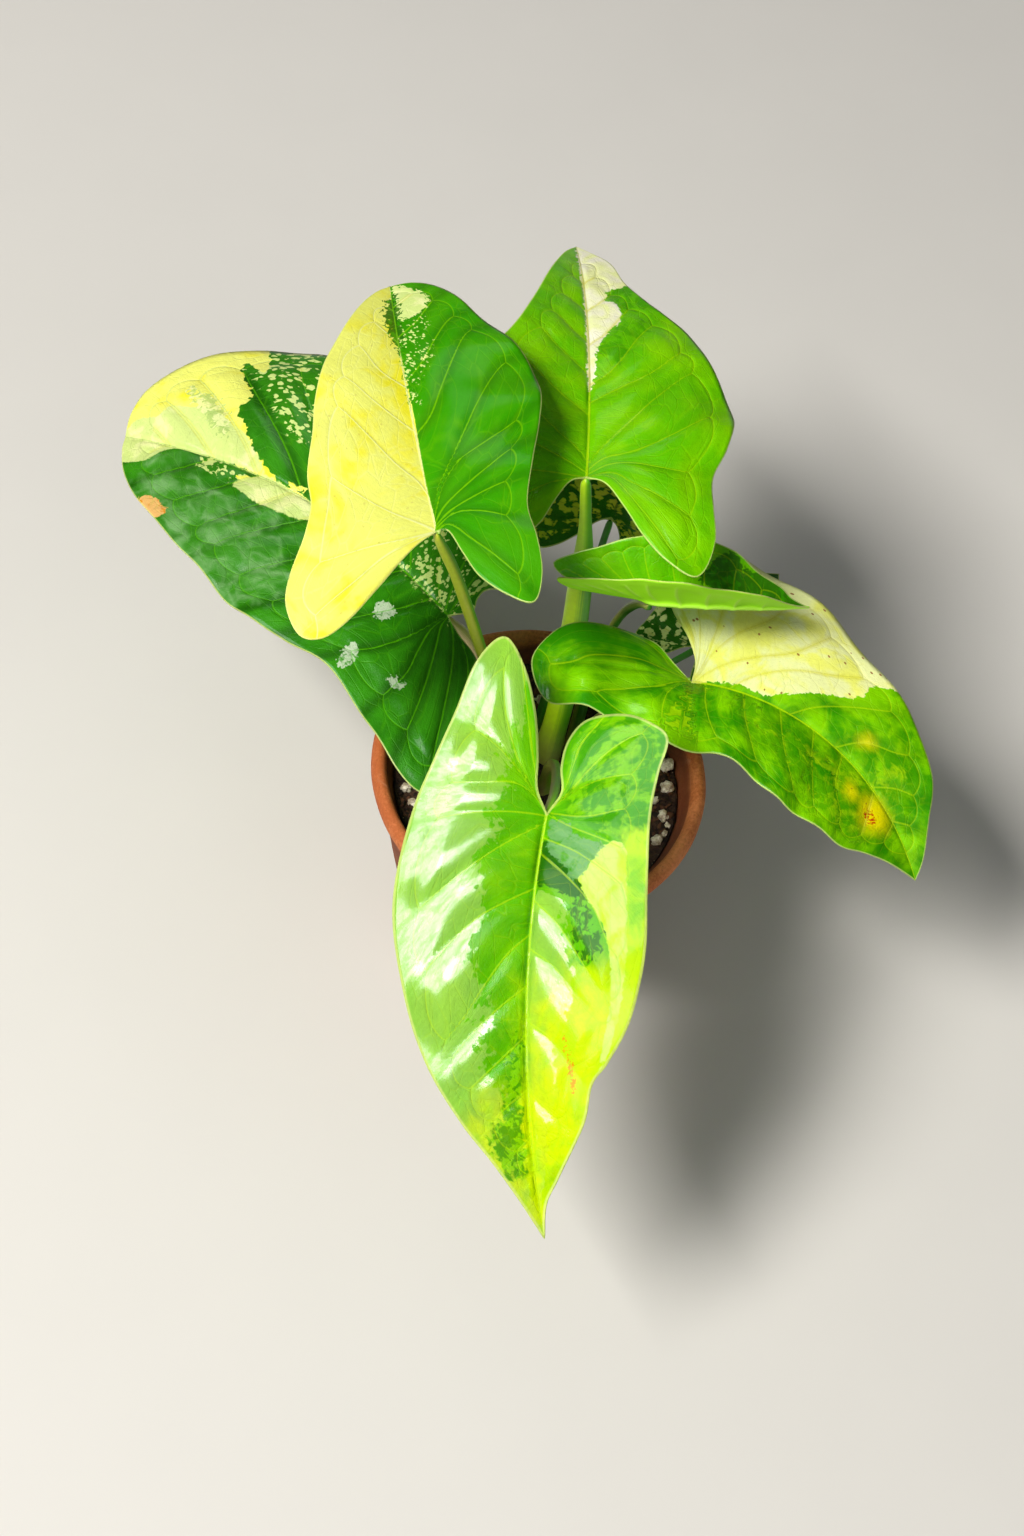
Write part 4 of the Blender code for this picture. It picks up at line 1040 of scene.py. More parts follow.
def under_finish(name, colours):
    """The paler, matter underside, with its veins a little lighter."""
    look = LOOKS[name]
    finish = Finish(name + "_under", Coat_Weight=look.under * 0.3, Coat_Roughness=0.25)
    flat = finish.attribute("flat")
    x, y, margin = finish.parts(flat)
    vein = finish.veins()[2]
    green, pale = (np.array(getattr(colours, key))
                   for key in (look.under_tone or look.fresh, "under_green"))
    first, second = (pale + share * (green - pale)
                     for share in (look.under, min(1, look.under + 0.2)))
    ground = finish.mix(finish.clouds(flat, 12).step(0.3, 0.7), first, second)
    lines = (vein / 0.7).step(1.2, 0.3) * margin.step(2.0, 6.0)
    ribs = lines.most((abs(x) / 1.6).step(1.1, 0.6) * y.step(-3.0, 1.0))
    colour = finish.mix(ribs * 0.35, ground, colours.pale_lime)
    finish.bump(ribs * 0.8 + finish.cells(flat, 0.6) * 0.4, 0.2, 0.7)
    return finish.set(Base_Color=colour, Roughness=finish.clouds(flat, 3) * 0.2 + 0.5)


def stem_path(leaf):
    """Middle line of a stalk, from its foot in the soil up into its blade."""
    up = tilted_axes(leaf)[2]
    foot, *through = leaf["stem"]
    arrive = (Vector(leaf["at"]) - Vector(through[-1])).normalized()
    tilt = math.sqrt(max(0, 1 - arrive.dot(up) ** 2))
    seat = BLADE_HALF / math.cos(math.radians(max(leaf["fold"])))
    end = Vector(leaf["at"]) - (seat + GAP + leaf["stem_radius"][1] * tilt) * up
    route = [Vector((*foot, SOIL_TOP + STEM_CLEAR))] + [Vector(point) for point in through] + [end]
    buried = np.array([(*foot, STEM_FOOT), (*foot, SOIL_TOP - 4), (*foot, SOIL_TOP)])
    line = smooth_line([tuple(point) for point in route], STEM_LINE)
    return np.vstack([buried, line, end + (GAP + seat) * up])


def stem_radius(leaf, share):
    """Radius along a stalk: a sheathed lower part, then a slim upper one."""
    thick, slim = leaf["stem_radius"]
    fade = smooth_step(share, leaf["sheath"], leaf["sheath"] + SHEATH_FADE)
    top = slim + STALK_SHARE * (thick - slim)
    sheathed = thick + (top - thick) * np.minimum(1, share / leaf["sheath"])
    return sheathed + (slim - sheathed) * fade


def ring_axes(line):
    """Two directions across a line at each of its points, turned as little as can be."""
    ahead = np.gradient(line, axis=0)
    ahead /= np.linalg.norm(ahead, axis=1)[:, None]
    first = np.cross(ahead[0], (0, 1, 0))
    axes = []
    for step in ahead:
        first = first - step * first.dot(step)
        first = first / np.linalg.norm(first)
        axes.append((first, np.cross(step, first)))
    return axes


def roll_tube(bm, line, width, layer):
    """A grid rolled round a line into a closed tube; width takes shares and angles."""
    verts, place = add_grid(bm, STALK_RINGS, STALK_SIDES)
    middle = on_line(line, np.linspace(0, 1, STALK_RINGS + 1))
    axes = ring_axes(middle)
    angles = 2 * np.pi * place[:, 1]
    radii = width(place[:, 0], angles)
    for k, vert in enumerate(verts):
        ring = round(place[k, 0] * STALK_RINGS)
        first, second = axes[ring]
        out = first * math.cos(angles[k]) + second * math.sin(angles[k])
        vert.co = (middle[ring] + out * radii[k]) * MM
        vert[layer] = (place[k, 0], out[0], out[1])
    bmesh.ops.remove_doubles(bm, verts=verts, dist=WELD / 10 * MM)
    bmesh.ops.holes_fill(bm, edges=[edge for edge in bm.edges if edge.is_boundary], sides=0)
    bmesh.ops.recalc_face_normals(bm, faces=bm.faces)


# Stalks: the colour on the side that faces the given way, the colour on the other side,
# that way in degrees about Z, the depth of the sheath's groove, and how much thicker its slim
# part shows than the part's round stem.
STALKS = {
    "front_leaf": ("olive", "lime", 200, 0.16, 1.1),
    "right_leaf": ("blush", "leaf_green", 250, 0.14, 1.1),
    "folded_leaf": ("olive", "moss", 150, 0.14, 1.1),
    "back_leaf": ("lime_pale", "lime_deep", 200, 0.34, 1.1),
    "yellow_leaf": ("straw", "mid_green", 250, 0.16, 1.4),
    "left_leaf": ("petal", "olive", 215, 0.14, 1.35),
    "low_back_leaf": ("moss", "leaf_green", 180, 0.12, 1.0),
    "low_right_leaf": ("leaf_green", "moss", 180, 0.12, 1.0),
}
SHOOT_TONES = ("pale_lime", "lime", 200)


def stalk_finish(name, tones, colours):
    """Two tones that meet along the stalk, with fine lengthwise streaks."""
    first, second = (getattr(colours, tone) for tone in tones[:2])
    finish = Finish(name, Coat_Weight=0.2, Coat_Roughness=0.3)
    share, out_x, out_y = finish.parts(finish.attribute("stalk"))
    spot = finish.spot()
    turn = math.radians(tones[2])
    facing = out_x * math.cos(turn) + out_y * math.sin(turn)
    streaks = finish.clouds(finish.vector(out_x * 9, out_y * 9, share * 3), 1.0, 4.0)
    grain = finish.clouds(spot, 2.2, 4.0)
    body = finish.mottled(facing, streaks, 1.2, -0.5, 0.6, second, first)
    foot = finish.mix(share.step(0.32, 0.12) * 0.6, body, colours.blush)
    colour = finish.vary(foot, grain * 0.3 + 0.85)
    finish.bump(streaks * 0.8 + grain * 0.4, 0.25, 0.6)
    return finish.set(Base_Color=colour, Roughness=grain * 0.2 + 0.32)


def make_tube(name, line, width, tones, colours, node):
    """A rolled tube as a piece that takes the place of its plain stem."""
    bm = bmesh.new()
    roll_tube(bm, line, width, bm.verts.layers.float_vector.new("stalk"))
    make_piece(name, bm, [stalk_finish(name, tones, colours)], "stem", [node])


def make_stalk(name, leaf, colours):
    """A sheathed stalk that runs from the soil into its blade."""
    way, groove, girth = STALKS[name][2:]
    way, seed = math.radians(way), sum(map(ord, name))

    def width(share, angle):
        sheath = smooth_step(share, leaf["sheath"] + SHEATH_FADE, leaf["sheath"] - 0.1)
        cleft = np.exp(-((np.angle(np.exp(1j * (angle - way)))) / 0.32) ** 2)
        flank = 0.05 * np.cos(2 * (angle - way)) + 0.03 * np.sin(5 * angle + seed)
        tip = 1 - 0.55 * smooth_step(share, 0.985, 1)
        uneven = 1 + 0.03 * np.sin(17 * share + seed) + 0.02 * np.sin(41 * share)
        stout = 1 + (girth - 1) * smooth_step(share, 0.3, 0.6) * smooth_step(share, 1, 0.9)
        return stem_radius(leaf, share) * uneven * tip * stout * (
            1 + flank - cleft * groove * (0.35 + 0.65 * sheath))

    make_tube(name.replace("_leaf", "_stalk"), stem_path(leaf), width, STALKS[name], colours,
              name.replace("_leaf", "_stem"))


def make_shoot(colours):
    """The rolled spear of the next leaf, its overlap winding round it."""
    foot, soil = (*SHOOT_FOOT, STEM_FOOT), (*SHOOT_FOOT, SOIL_TOP + 1)
    line = smooth_line([foot, soil, SHOOT_TOP])

    def width(share, angle):
        taper = np.interp(share, np.linspace(0, 1, len(SHOOT_TAPER)), SHOOT_TAPER)
        lap = ((angle - 5 * share) / (2 * np.pi)) % 1
        return SHOOT_RADIUS * taper * (0.9 + 0.14 * lap)

    make_tube("rolled_shoot", line, width, SHOOT_TONES, colours, "new_shoot")


def wall_radius(pot, height):
    """Radius of the pot's outer wall at a height under the lip, in millimetres."""
    shoulder = (pot.rim_radius - pot.lip_width / 2) / MM
    base = pot.base_radius / MM
    return base + (shoulder - base) * height / ((pot.height - pot.lip_height) / MM)


def inner_radius(pot, height):
    """Radius of the pot's inner wall at a height, in millimetres."""
    return wall_radius(pot, height) - pot.wall / MM


def pot_profile(pot):
    """The pot's section as radii and heights, from the floor's middle round to the base's."""
    top, lip_high, lip_wide = pot.height / MM, pot.lip_height / MM, pot.lip_width / MM
    under_lip = top - lip_high - lip_wide
    profile = [(0, FLOOR), (12, FLOOR), (inner_radius(pot, FLOOR) - FLOOR_FILLET, FLOOR),
               (inner_radius(pot, FLOOR) - 0.9, FLOOR + 0.9)]
    profile += [(inner_radius(pot, height), height)
                for height in np.linspace(FLOOR + FLOOR_FILLET, under_lip, INNER_RINGS)]
    middle = pot.rim_radius / MM - lip_wide / 2
    for turn in np.radians(np.linspace(200, -40, LIP_RINGS)):
        profile.append((middle + lip_wide / 2 * math.cos(turn),
                        top - lip_high / 2 + lip_high / 2 * math.sin(turn)))
    profile += [(wall_radius(pot, height), height)
                for height in np.linspace(under_lip + 4, 1.8, WALL_RINGS)]
    base = pot.base_radius / MM
    return profile + [(base - 0.4, 0.5), (base - 1.5, 0), (30, 0), (12, 0), (0, 0)]


def spin_profile(bm, profile, sides):
    """A closed solid turned about Z from a section."""
    verts = [bm.verts.new((radius * MM, 0, height * MM)) for radius, height in profile]
    edges = [bm.edges.new(pair) for pair in zip(verts, verts[1:])]
    bmesh.ops.spin(bm, geom=verts + edges, cent=(0, 0, 0), axis=(0, 0, 1), dvec=(0, 0, 0),
                   angle=2 * math.pi, steps=sides, use_merge=True)
    bmesh.ops.remove_doubles(bm, verts=bm.verts, dist=WELD / 2 * MM)
    bmesh.ops.dissolve_degenerate(bm, edges=bm.edges, dist=WELD / 4 * MM)
    bmesh.ops.recalc_face_normals(bm, faces=bm.faces)


def clay_finish(pot):
    """Fired clay: mottled body, fine grit, turning lines, salt bloom and a darker inner wall."""
    finish = Finish("fired_clay", Specular_IOR_Level=0.35)
    spot = finish.spot()
    x, y, z = finish.parts(spot)
    radius = (x * x + y * y) ** 0.5
    broad = finish.clouds(spot, 26, 4.0)
    grit = finish.clouds(spot, 1.2, 5.0, 0.7)
    pores = finish.cells(spot, 2.6)
    body = finish.mottled(broad, grit, 0.5, 0.32, 0.7, pot.clay, pot.clay_pale)
    bloom = (finish.clouds(spot, 14, 5.0, 0.65, 0.6) - 0.06).step(0.52, 0.7)
    height_share = z.step(20.0, pot.height / MM)
    colour = finish.mix(bloom * (0.15 + height_share * 0.2), body, pot.bloom)
    # Darker on the inner wall, from the soil up to just under the lip.
    within = radius.step(pot.rim_radius / MM - 4.0, pot.rim_radius / MM - 6.2)
    dark_clay = within * (z + (broad - 0.5) * 6.0).step(109.0, 104.0)
    colour = finish.mix(dark_clay * 0.8, colour, pot.dark_clay)
    specks = pores.step(0.17, 0.08) * (grit - 0.1)
    colour = finish.mix(specks * 0.7, colour, pot.dark_clay)
    colour = finish.vary(colour, grit * 0.4 + 0.8)
    turning = finish.clouds(finish.vector(radius * 0.15, z * 1.4), 1.0, 3.0)
    finish.bump(grit * 0.6 + pores * 0.3 + turning * 0.7 - specks, 0.3, 0.8)
    return finish.set(Base_Color=colour, Roughness=grit * 0.15 + 0.75)


def make_pot(pot):
    """The turned clay pot, with its drain holes cut through the floor."""
    bm = bmesh.new()
    spin_profile(bm, pot_profile(pot), POT_SIDES)
    for vert in bm.verts:
        if vert.co.z > 2 * MM and vert.co.xy.length > 20 * MM:
            wobble = sum(noise.noise(vert.co * often) * depth for often, depth in POT_WOBBLE)
            vert.co.xy *= 1 + wobble * MM / vert.co.xy.length
    piece = make_piece("clay_pot", bm, [clay_finish(pot)], "clay", ["pot"])
    holes = bmesh.new()
    for turn in np.radians(DRAIN_TURN + np.arange(DRAINS) * 360 / DRAINS):
        place = Vector((math.cos(turn), math.sin(turn), 0)) * DRAIN_CIRCLE * MM
        bmesh.ops.create_cone(holes, cap_ends=True, segments=DRAIN_SIDES, radius1=DRAIN_RADIUS * MM,
                              radius2=DRAIN_RADIUS * MM, depth=3 * FLOOR * MM,
                              matrix=Matrix.Translation(place))
    cutter = add_mesh("drain_cutter", holes)
    cut = piece.modifiers.new("Drains", "BOOLEAN")
    cut.operation, cut.object, cut.solver = "DIFFERENCE", cutter, "EXACT"
    graph = bpy.context.evaluated_depsgraph_get()
    solid = bpy.data.meshes.new_from_object(piece.evaluated_get(graph))
    piece.modifiers.clear()
    piece.data = solid
    bpy.data.objects.remove(cutter)


def soil_height(x, y):
    """Top of the soil at a place, in millimetres: low swells that flatten by the wall."""
    swell = math.sin(0.13 * x + 1.0) * math.cos(0.11 * y) + 0.6 * math.sin(0.21 * y - 0.17 * x)
    return SOIL_TOP + SOIL_SWELL * swell * (1 - (math.hypot(x, y) / 65) ** 4)


def crumbly(name, shine, fine_size):
    """A matt finish in the making, with its place and a fine noise."""
    finish = Finish(name, Specular_IOR_Level=shine)
    spot = finish.spot()
    return finish, spot, finish.clouds(spot, fine_size, 5.0, 0.7)


def soil_finish(soil):
    """Dark peat mix: near black clods, brown fibres and pale dust."""
    finish = Finish("peat_mix", Specular_IOR_Level=0.25)
    spot = finish.spot()
    clods = finish.cells(spot, 2.4)
    fine = finish.clouds(spot, 1.6, 6.0, 0.7)
    broad = finish.clouds(spot, 12, 3.0)
    colour = finish.mottled(fine, broad, 0.6, 0.35, 0.7, soil.peat, soil.fibre)
    dust = finish.cells(spot, 1.9).step(0.2, 0.08) * finish.clouds(spot, 5).step(0.5, 0.62)
    colour = finish.mix(dust * 0.7, colour, soil.dust)
    colour = finish.vary(colour, clods * 0.5 + 0.7)
    finish.bump(clods * 1.2 + fine, 0.7, 1.0)
    return finish.set(Base_Color=colour, Roughness=fine * 0.2 + 0.78)


def grain_finish(soil):
    """Chalky puffed grains with dusty, browned hollows."""
    finish, spot, fine = crumbly("puffed_grain", 0.3, 1.1)
    pits = finish.cells(spot, 0.9)
    broad = finish.clouds(spot, 4.5, 3.0)
    colour = finish.mottled(broad, fine, 0.6, 0.36, 0.66, soil.grain, soil.dust)
    colour = finish.mix(pits.step(0.22, 0.05) * 0.6, colour, soil.fibre)
    finish.bump(pits * 0.9 + fine * 0.6, 0.35, 1.0)
    return finish.set(Base_Color=colour, Roughness=fine * 0.2 + 0.7)


def crumb_finish(soil):
    """Bark crumbs and peat fibres, from near black to reddish brown."""
    finish, spot, fine = crumbly("bark_crumb", 0.25, 1.0)
    broad = finish.clouds(spot, 3.2, 2.0)
    colour = finish.mottled(broad, fine, 0.5, 0.42, 0.62, soil.peat, soil.bark)
    finish.bump(fine, 0.4, 1.0)
    return finish.set(Base_Color=colour, Roughness=fine * 0.2 + 0.7)


def make_soil(pot, soil):
    """The soil body, its top broken into clods."""
    profile = [(0, SOIL_TOP)] + [(r, SOIL_TOP) for r in np.linspace(0.8, SOIL_EDGE, SOIL_RINGS)]
    for height in (SOIL_TOP - 1, 75, 40, FLOOR + FLOOR_FILLET):
        profile.append((inner_radius(pot, height) - GAP, height))
    profile += [(inner_radius(pot, FLOOR) - FLOOR_FILLET - GAP, FLOOR + GAP), (0, FLOOR + GAP)]
    bm = bmesh.new()
    spin_profile(bm, profile, SOIL_SIDES)
    for vert in bm.verts:
        if vert.co.z > (SOIL_TOP - 0.5) * MM:
            x, y = vert.co.x / MM, vert.co.y / MM
            clods = sum(noise.noise(Vector((x, y, layer)) / size) * height
                        for layer, size, height in SOIL_CLODS)
            vert.co.z = (soil_height(x, y) + clods + soil.rise / MM) * MM
    make_piece("soil_body", bm, [soil_finish(soil)], "soil", ["soil"])


def add_lump(bm, rng, place, size, stretch, lift, facets):
    """One dented lump, sunk a little into the soil."""
    verts = bmesh.ops.create_icosphere(bm, subdivisions=facets, radius=1)["verts"]
    phase = Vector([rng.uniform(-9, 9) for _ in range(3)])
    for vert in verts:
        dents = (noise.noise(vert.co * 1.5 + phase), noise.noise(vert.co * 3.6 + phase))
        vert.co *= 1 + 0.45 * dents[0] + 0.2 * dents[1]
    spun = Matrix.Rotation(rng.uniform(0, 2 * math.pi), 3, "Z")
    tilted = Matrix.Rotation(rng.uniform(-0.5, 0.5), 3, "X")
    shape = Matrix.Diagonal(Vector(stretch) * size * MM)
    height = soil_height(*place) + lift * size
    for vert in verts:
        vert.co = spun @ tilted @ shape @ vert.co + Vector((*place, height)) * MM


def scatter(rng, count, reach, feet, room):
    """Places spread over the soil, with room to every foot in the list."""
    placed = []
    while len(placed) < count:
        radius, turn = reach * math.sqrt(rng.random()), rng.uniform(0, 2 * math.pi)
        place = (radius * math.cos(turn), radius * math.sin(turn))
        if all(math.dist(place, foot) > girth + room for foot, girth in feet):
            placed.append(place)
    return placed


def make_grains(soil, feet):
    """White puffed grains: a drift along the pot's right side, and singles all over."""
    rng = random.Random(GRAIN_SEED)
    bm = bmesh.new()
    drift = [((x, y), radius) for x, y, radius in GRAIN_DRIFT]
    singles = [(place, rng.uniform(1.3, 2.6))
               for place in scatter(rng, soil.grains, GRAIN_REACH, feet + drift, GRAIN_ROOM)]
    for place, size in drift + singles:
        stretch = (rng.uniform(0.85, 1.2), rng.uniform(0.8, 1.1), rng.uniform(0.7, 0.95))
        add_lump(bm, rng, place, size, stretch, rng.uniform(0.2, 0.6), 3)
    make_piece("puffed_grains", bm, [grain_finish(soil)], "soil")


def make_crumbs(soil, feet):
    """Bark crumbs, splinters and peat clods over the soil."""
    rng = random.Random(CRUMB_SEED)
    bm = bmesh.new()
    for k, place in enumerate(scatter(rng, soil.crumbs, CRUMB_REACH, feet, CRUMB_ROOM)):
        small = k % LARGE_CRUMB > 0
        size = rng.uniform(0.5, 1.4) if small else rng.uniform(1.4, 2.6)
        stretch = (rng.uniform(0.8, 2.6), rng.uniform(0.5, 1.0), rng.uniform(0.35, 0.8))
        add_lump(bm, rng, place, size, stretch, rng.uniform(0.1, 0.5), 1 if small else 2)
    make_piece("bark_crumbs", bm, [crumb_finish(soil)], "soil")


# Lights: place, size, colour and the surfaces that each shows on. The stage sets their powers.
WHITE = (1.0, 1.0, 1.0)
LIGHTS = {
    "key": ((-0.95, -0.8, 1.95), 0.6, (1.0, 0.98, 0.94), "matt"),
    "soft": ((0.9, -0.9, 1.5), 1.0, WHITE, "matt"),
    "window": ((-0.55, -0.35, 1.3), 1.1, WHITE, "glossy"),
    "glint": ((0.05, -0.32, 1.15), 0.22, WHITE, "glossy"),
    "rim": ((-0.36, 1.1, 0.95), 0.4, (0.95, 0.98, 1.0), "glossy"),
}
LIGHT_AIM = (0, 0, 0.16)
SKY = (0.95, 0.97, 1.0, 1)
FLOOR_HALF = 4


def soft_light(name, power):
    """A square soft light, turned to the plant."""
    place, size, colour, surfaces = LIGHTS[name]
    data = bpy.data.lights.new(name + "_light", "AREA")
    data.shape, data.size, data.energy, data.color = "SQUARE", size, power, colour
    lamp = add_object(name + "_light", data)
    lamp.location = place
    lamp.rotation_euler = (Vector(LIGHT_AIM) - Vector(place)).to_track_quat("-Z", "Y").to_euler()
    lamp.visible_glossy = surfaces == "glossy"
    lamp.visible_diffuse = surfaces == "matt"


def add_camera():
    """The camera, found from the pot's rim in the photograph."""
    data = bpy.data.cameras.new("camera")
    data.lens, data.sensor_width = LENS, SENSOR
    camera = add_object("camera", data)
    ahead, right, up = tilted_axes(CAMERA_WAY)
    focal = LENS / SENSOR * IMAGE_HEIGHT
    away = focal / RIM_SCALE * MM
    aside = (RIM_PIXEL[0] - IMAGE_WIDTH / 2) / focal * away
    above = (IMAGE_HEIGHT / 2 - RIM_PIXEL[1]) / focal * away
    camera.matrix_world = Matrix((right, up, -ahead)).transposed().to_4x4()
    camera.location = Vector((0, 0, RIM_TOP * MM)) - ahead * away - right * aside - up * above
    bpy.context.scene.camera = camera


def length(name, description, default):
    return FloatProperty(name=name, description=description, default=default, unit="LENGTH")


def power(name, description, default):
    return FloatProperty(name=name, description=description, default=default, unit="POWER")


def tone(name, description, *light):
    return FloatVectorProperty(name=name, description=description, subtype="COLOR",
                               default=paint(*light))


class PotSettings(PropertyGroup):
    """Sizes and colours of the clay pot."""
    rim_radius: length("Rim radius", "Outer radius of the lip", 0.065)
    height: length("Height", "Height of the pot", 0.112)
    base_radius: length("Base radius", "Radius of the flat base", 0.041)
    wall: length("Wall", "Thickness of the wall", 0.0052)
    lip_height: length("Lip height", "Height of the rolled lip", 0.009)
    lip_width: length("Lip width", "Width of the rolled lip", 0.006)
    clay: tone("Clay", "Deep tone of the clay", 180, 94, 46)
    clay_pale: tone("Pale clay", "Light tone of the clay", 220, 136, 82)
    bloom: tone("Bloom", "Salt bloom on the clay", 222, 178, 146)
    # Dark tone of the inner wall and of the specks.
    dark_clay: tone("Damp clay", "Clay darkened by wet soil", 104, 50, 30)


class SoilSettings(PropertyGroup):
    """Counts and colours of the soil."""
    rise: length("Rise", "How far the clods stand above the soil's level", 0.0004)
    grains: IntProperty(name="Grains", description="White grains over the whole top", default=24)
    crumbs: IntProperty(name="Crumbs", description="Bark crumbs over the whole top", default=1500)
    peat: tone("Peat", "Dark peat", 34, 25, 20)
    fibre: tone("Fibre", "Brown fibres", 74, 52, 38)
    bark: tone("Bark", "Bark crumbs", 92, 60, 40)
    dust: tone("Dust", "Pale dust", 168, 150, 126)
    grain: tone("Grain", "White grains", 236, 226, 206)


class BladeSettings(PropertyGroup):
    """Relief and gloss of the blades."""
    quilt: length("Quilt", "Swelling of the blade between its veins", 0.0013)
    rib_groove: length("Groove", "Depth of the groove over the midrib", 0.0006)
    relief: length("Relief", "Depth of the fine surface relief", 0.00035)
    gloss_floor: FloatProperty(name="Roughness", description="Lowest roughness of the upper side",
                               default=0.26, min=0, max=1)


class LeafColours(PropertyGroup):
    """Tones that the blades and stalks are painted with."""
    lime: tone("Lime", "Bright lime green", 126, 202, 0)
    lime_deep: tone("Deep lime", "Deeper lime green", 86, 176, 0)
    lime_pale: tone("Yellow lime", "Yellowish lime", 192, 232, 10)
    pale_lime: tone("Pale lime", "Washed lime", 206, 240, 112)
    yellow_lime: tone("Bright yellow lime", "Yellow lime of the front leaf's tip", 214, 236, 0)
    grass: tone("Grass", "Even grass green", 64, 150, 2)
    leaf_green: tone("Leaf green", "Plain leaf green", 52, 146, 0)
    mid_green: tone("Fresh green", "Fresh leaf green", 92, 184, 0)
    moss: tone("Moss", "Dull moss green", 44, 112, 6)
    deep_green: tone("Deep green", "Rich dark green", 50, 130, 14)
    dark_green: tone("Dark green", "Darkest green", 34, 104, 6)
    # Painted sheen: the cool pale green of glare on the front leaf's dark green.
    blue_green: tone("Blue green", "Cool dark green", 112, 168, 102)
    # Painted sheen: the silvery reflection on the left leaf's dark green.
    silver_green: tone("Silver green", "Silvery bloom on dark green", 140, 188, 122)
    peach: tone("Peach", "Scorched edge", 242, 186, 112)
    # Partly a pale bloom, partly painted sheen: the tint laid where the glare falls on the front
    # leaf.
    satin: tone("Satin", "Pale bloom of the front leaf", 214, 240, 124)
    jade: tone("Jade", "Greyish mid green", 66, 142, 36)
    sage: tone("Sage cream", "Greenish cream", 216, 236, 140)
    butter: tone("Butter", "Cream yellow", 242, 246, 116)
    yellow: tone("Yellow", "Clear yellow", 246, 240, 50)
    sun: tone("Sun", "Glow round a spot", 252, 240, 0)
    # Gold also paints the shade in a fringe beside the side veins on pale places.
    gold: tone("Gold", "Veins on pale places", 222, 220, 60)
    ember: tone("Ember", "Burnt heart of a spot", 206, 74, 8)
    cream: tone("Cream", "Pale cream", 242, 248, 172)
    ivory: tone("Ivory", "Near white cream", 248, 246, 220)
    mint: tone("Mint", "Grey green", 176, 206, 112)
    silver: tone("Silver", "Silvery green", 198, 214, 184)
    margin: tone("Margin", "Thin line round each blade", 226, 236, 140)
    rust: tone("Rust", "Scorched spots", 150, 96, 30)
    amber: tone("Amber", "Orange heart of a spot", 226, 140, 20)
    olive: tone("Olive", "Olive stalk", 146, 150, 58)
    blush: tone("Blush", "Pinkish stalk", 206, 168, 124)
    petal: tone("Petal", "Cream stalk with a blush", 236, 210, 164)
    straw: tone("Straw", "Yellow olive stalk", 196, 208, 52)
    # Painted light: a bright green that lightens the folded leaf's shaded near strip.
    spring: tone("Spring green", "Underside of the folded leaf", 172, 250, 0)
    under_green: tone("Underside", "Pale underside", 138, 172, 84)


class StageSettings(PropertyGroup):
    """Floor and lights."""
    floor: tone("Floor", "Colour of the floor", 222, 219, 213)
    key: power("Key light", "Power of the light on the left", 57)
    soft: power("Soft light", "Power of the soft light on the right", 4)
    window: power("Window", "Power of the light that shows in the gloss", 31)
    glint: power("Glint light", "Power of the small light above", 1.6)
    rim: power("Rim light", "Power of the sheen light behind", 1.0)
    ambient: FloatProperty(name="Ambient", description="Strength of the light all round",
                           default=0.09, min=0)


class PLANT_OT_pot(Operator):
    """Build the clay pot"""
    bl_idname = "plant.pot"
    bl_label = "Clay pot"

    def execute(self, context):
        make_pot(context.scene.plant_pot)
        return {"FINISHED"}


class PLANT_OT_soil(Operator):
    """Build the soil with its grains and crumbs"""
    bl_idname = "plant.soil"
    bl_label = "Soil"

    def execute(self, context):
        soil = context.scene.plant_soil
        feet = [(leaf["stem"][0], leaf["stem_radius"][0]) for leaf in all_leaves().values()]
        feet.append((SHOOT_FOOT, SHOOT_RADIUS))
        make_soil(context.scene.plant_pot, soil)
        make_grains(soil, feet)
        make_crumbs(soil, feet)
        return {"FINISHED"}


class PLANT_OT_blades(Operator):
    """Build the eight blades"""
    bl_idname = "plant.blades"
    bl_label = "Blades"

    def execute(self, context):
        for name, leaf in all_leaves().items():
            make_blade(name, leaf, context.scene.plant_blades, context.scene.plant_colours)
        return {"FINISHED"}


class PLANT_OT_stalks(Operator):
    """Build the stalks and the rolled new leaf"""
    bl_idname = "plant.stalks"
    bl_label = "Stalks"

    def execute(self, context):
        for name, leaf in all_leaves().items():
            make_stalk(name, leaf, context.scene.plant_colours)
        make_shoot(context.scene.plant_colours)
        return {"FINISHED"}


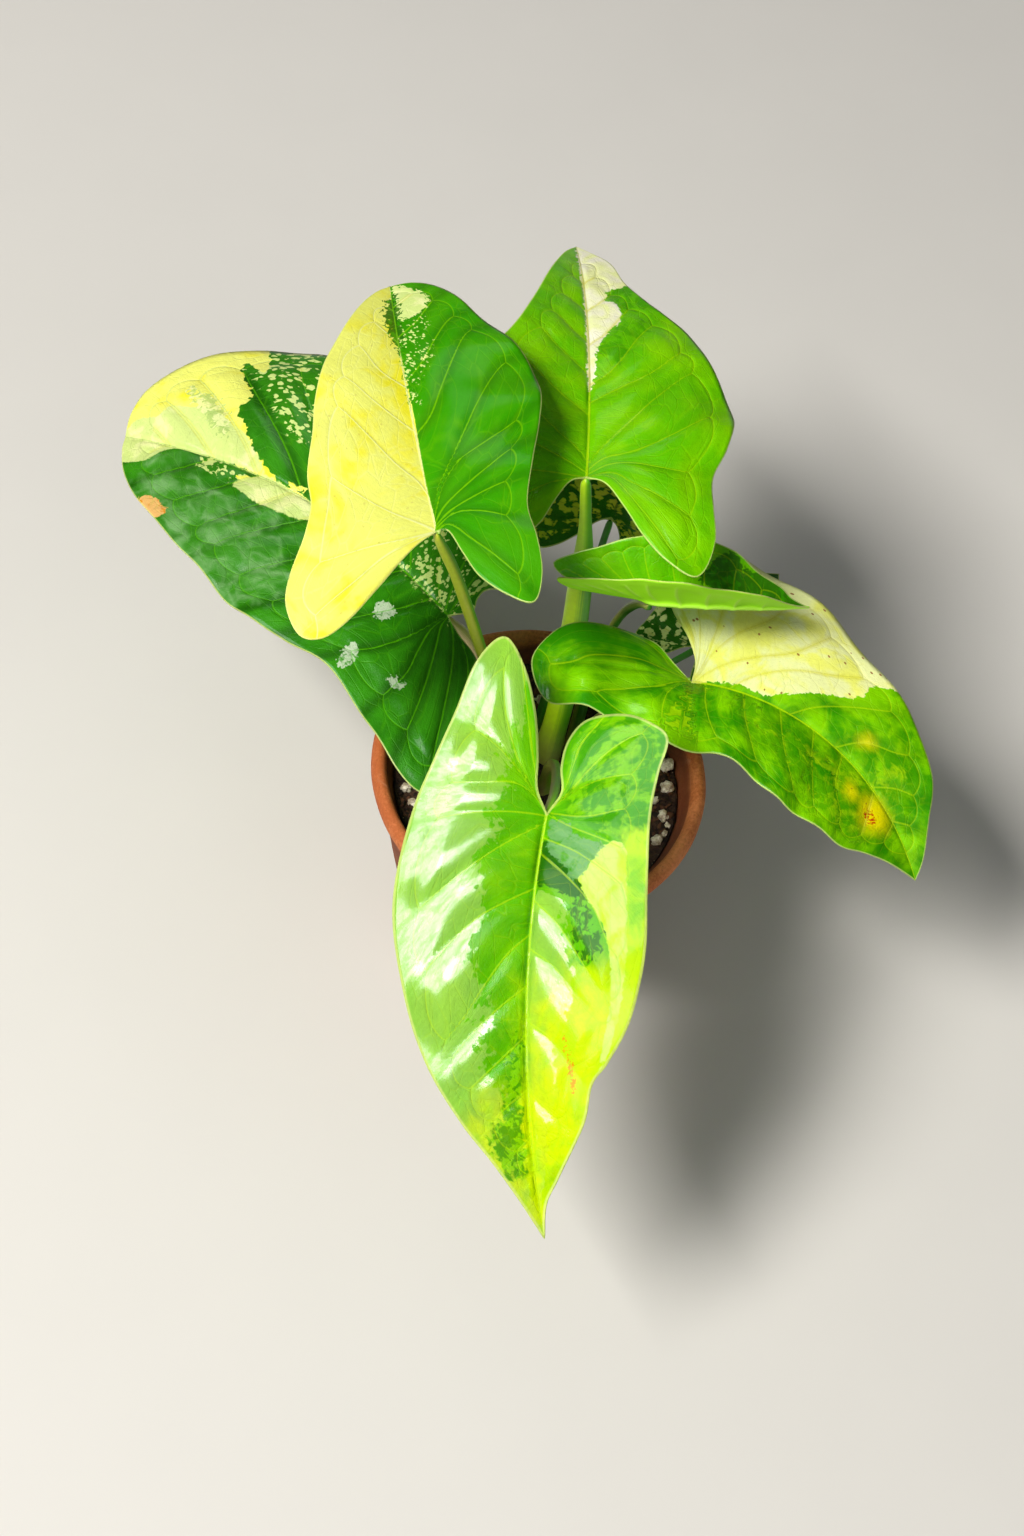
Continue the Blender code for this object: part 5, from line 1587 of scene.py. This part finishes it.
class PLANT_OT_stage(Operator):
    """Add the floor, the soft lights and the camera"""
    bl_idname = "plant.stage"
    bl_label = "Stage"

    def execute(self, context):
        stage = context.scene.plant_stage
        bm = bmesh.new()
        bmesh.ops.create_grid(bm, x_segments=2, y_segments=2, size=FLOOR_HALF)
        finish = Finish("floor")
        grain = finish.clouds(finish.spot(), 60, 4.0)
        floor = add_mesh("floor", bm, [finish.set(
            Base_Color=finish.vary(stage.floor, grain * 0.04 + 0.98), Roughness=grain * 0.1 + 0.7)])
        floor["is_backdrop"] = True
        for name in LIGHTS:
            soft_light(name, getattr(stage, name))
        world = bpy.data.worlds.new("studio")
        world.use_nodes = True
        sky = world.node_tree.nodes["Background"]
        sky.inputs["Color"].default_value = SKY
        sky.inputs["Strength"].default_value = stage.ambient
        world.cycles_visibility.glossy = False
        context.scene.world = world
        context.scene.view_settings.view_transform = "Standard"
        add_camera()
        return {"FINISHED"}


class PLANT_PT_panel(Panel):
    """The plant's pieces and their settings"""
    bl_label = "Arrowhead plant"
    bl_idname = "PLANT_PT_panel"
    bl_space_type = "VIEW_3D"
    bl_region_type = "UI"
    bl_category = "Plant"

    def draw(self, context):
        for operator in OPERATORS:
            self.layout.operator(operator.bl_idname)
        for key, group in GROUPS.items():
            box = self.layout.box()
            for field in group.__annotations__:
                box.prop(getattr(context.scene, key), field)


GROUPS = {"plant_pot": PotSettings, "plant_soil": SoilSettings, "plant_blades": BladeSettings,
          "plant_colours": LeafColours, "plant_stage": StageSettings}
OPERATORS = (PLANT_OT_pot, PLANT_OT_soil, PLANT_OT_blades, PLANT_OT_stalks, PLANT_OT_stage)


def register():
    for part in (*GROUPS.values(), *OPERATORS, PLANT_PT_panel):
        bpy.utils.register_class(part)
    for key, group in GROUPS.items():
        setattr(bpy.types.Scene, key, PointerProperty(type=group))


def unregister():
    for key in GROUPS:
        delattr(bpy.types.Scene, key)
    for part in (PLANT_PT_panel, *OPERATORS[::-1], *list(GROUPS.values())[::-1]):
        bpy.utils.unregister_class(part)


def main():
    register()
    bpy.ops.plant.pot()
    bpy.ops.plant.soil()
    bpy.ops.plant.blades()
    bpy.ops.plant.stalks()
    bpy.ops.plant.stage()
    sizes = [[list(map(float, corner)) for corner in box] for box in (CAD_BOUNDS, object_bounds())]


if __name__ == "__main__":
    main()
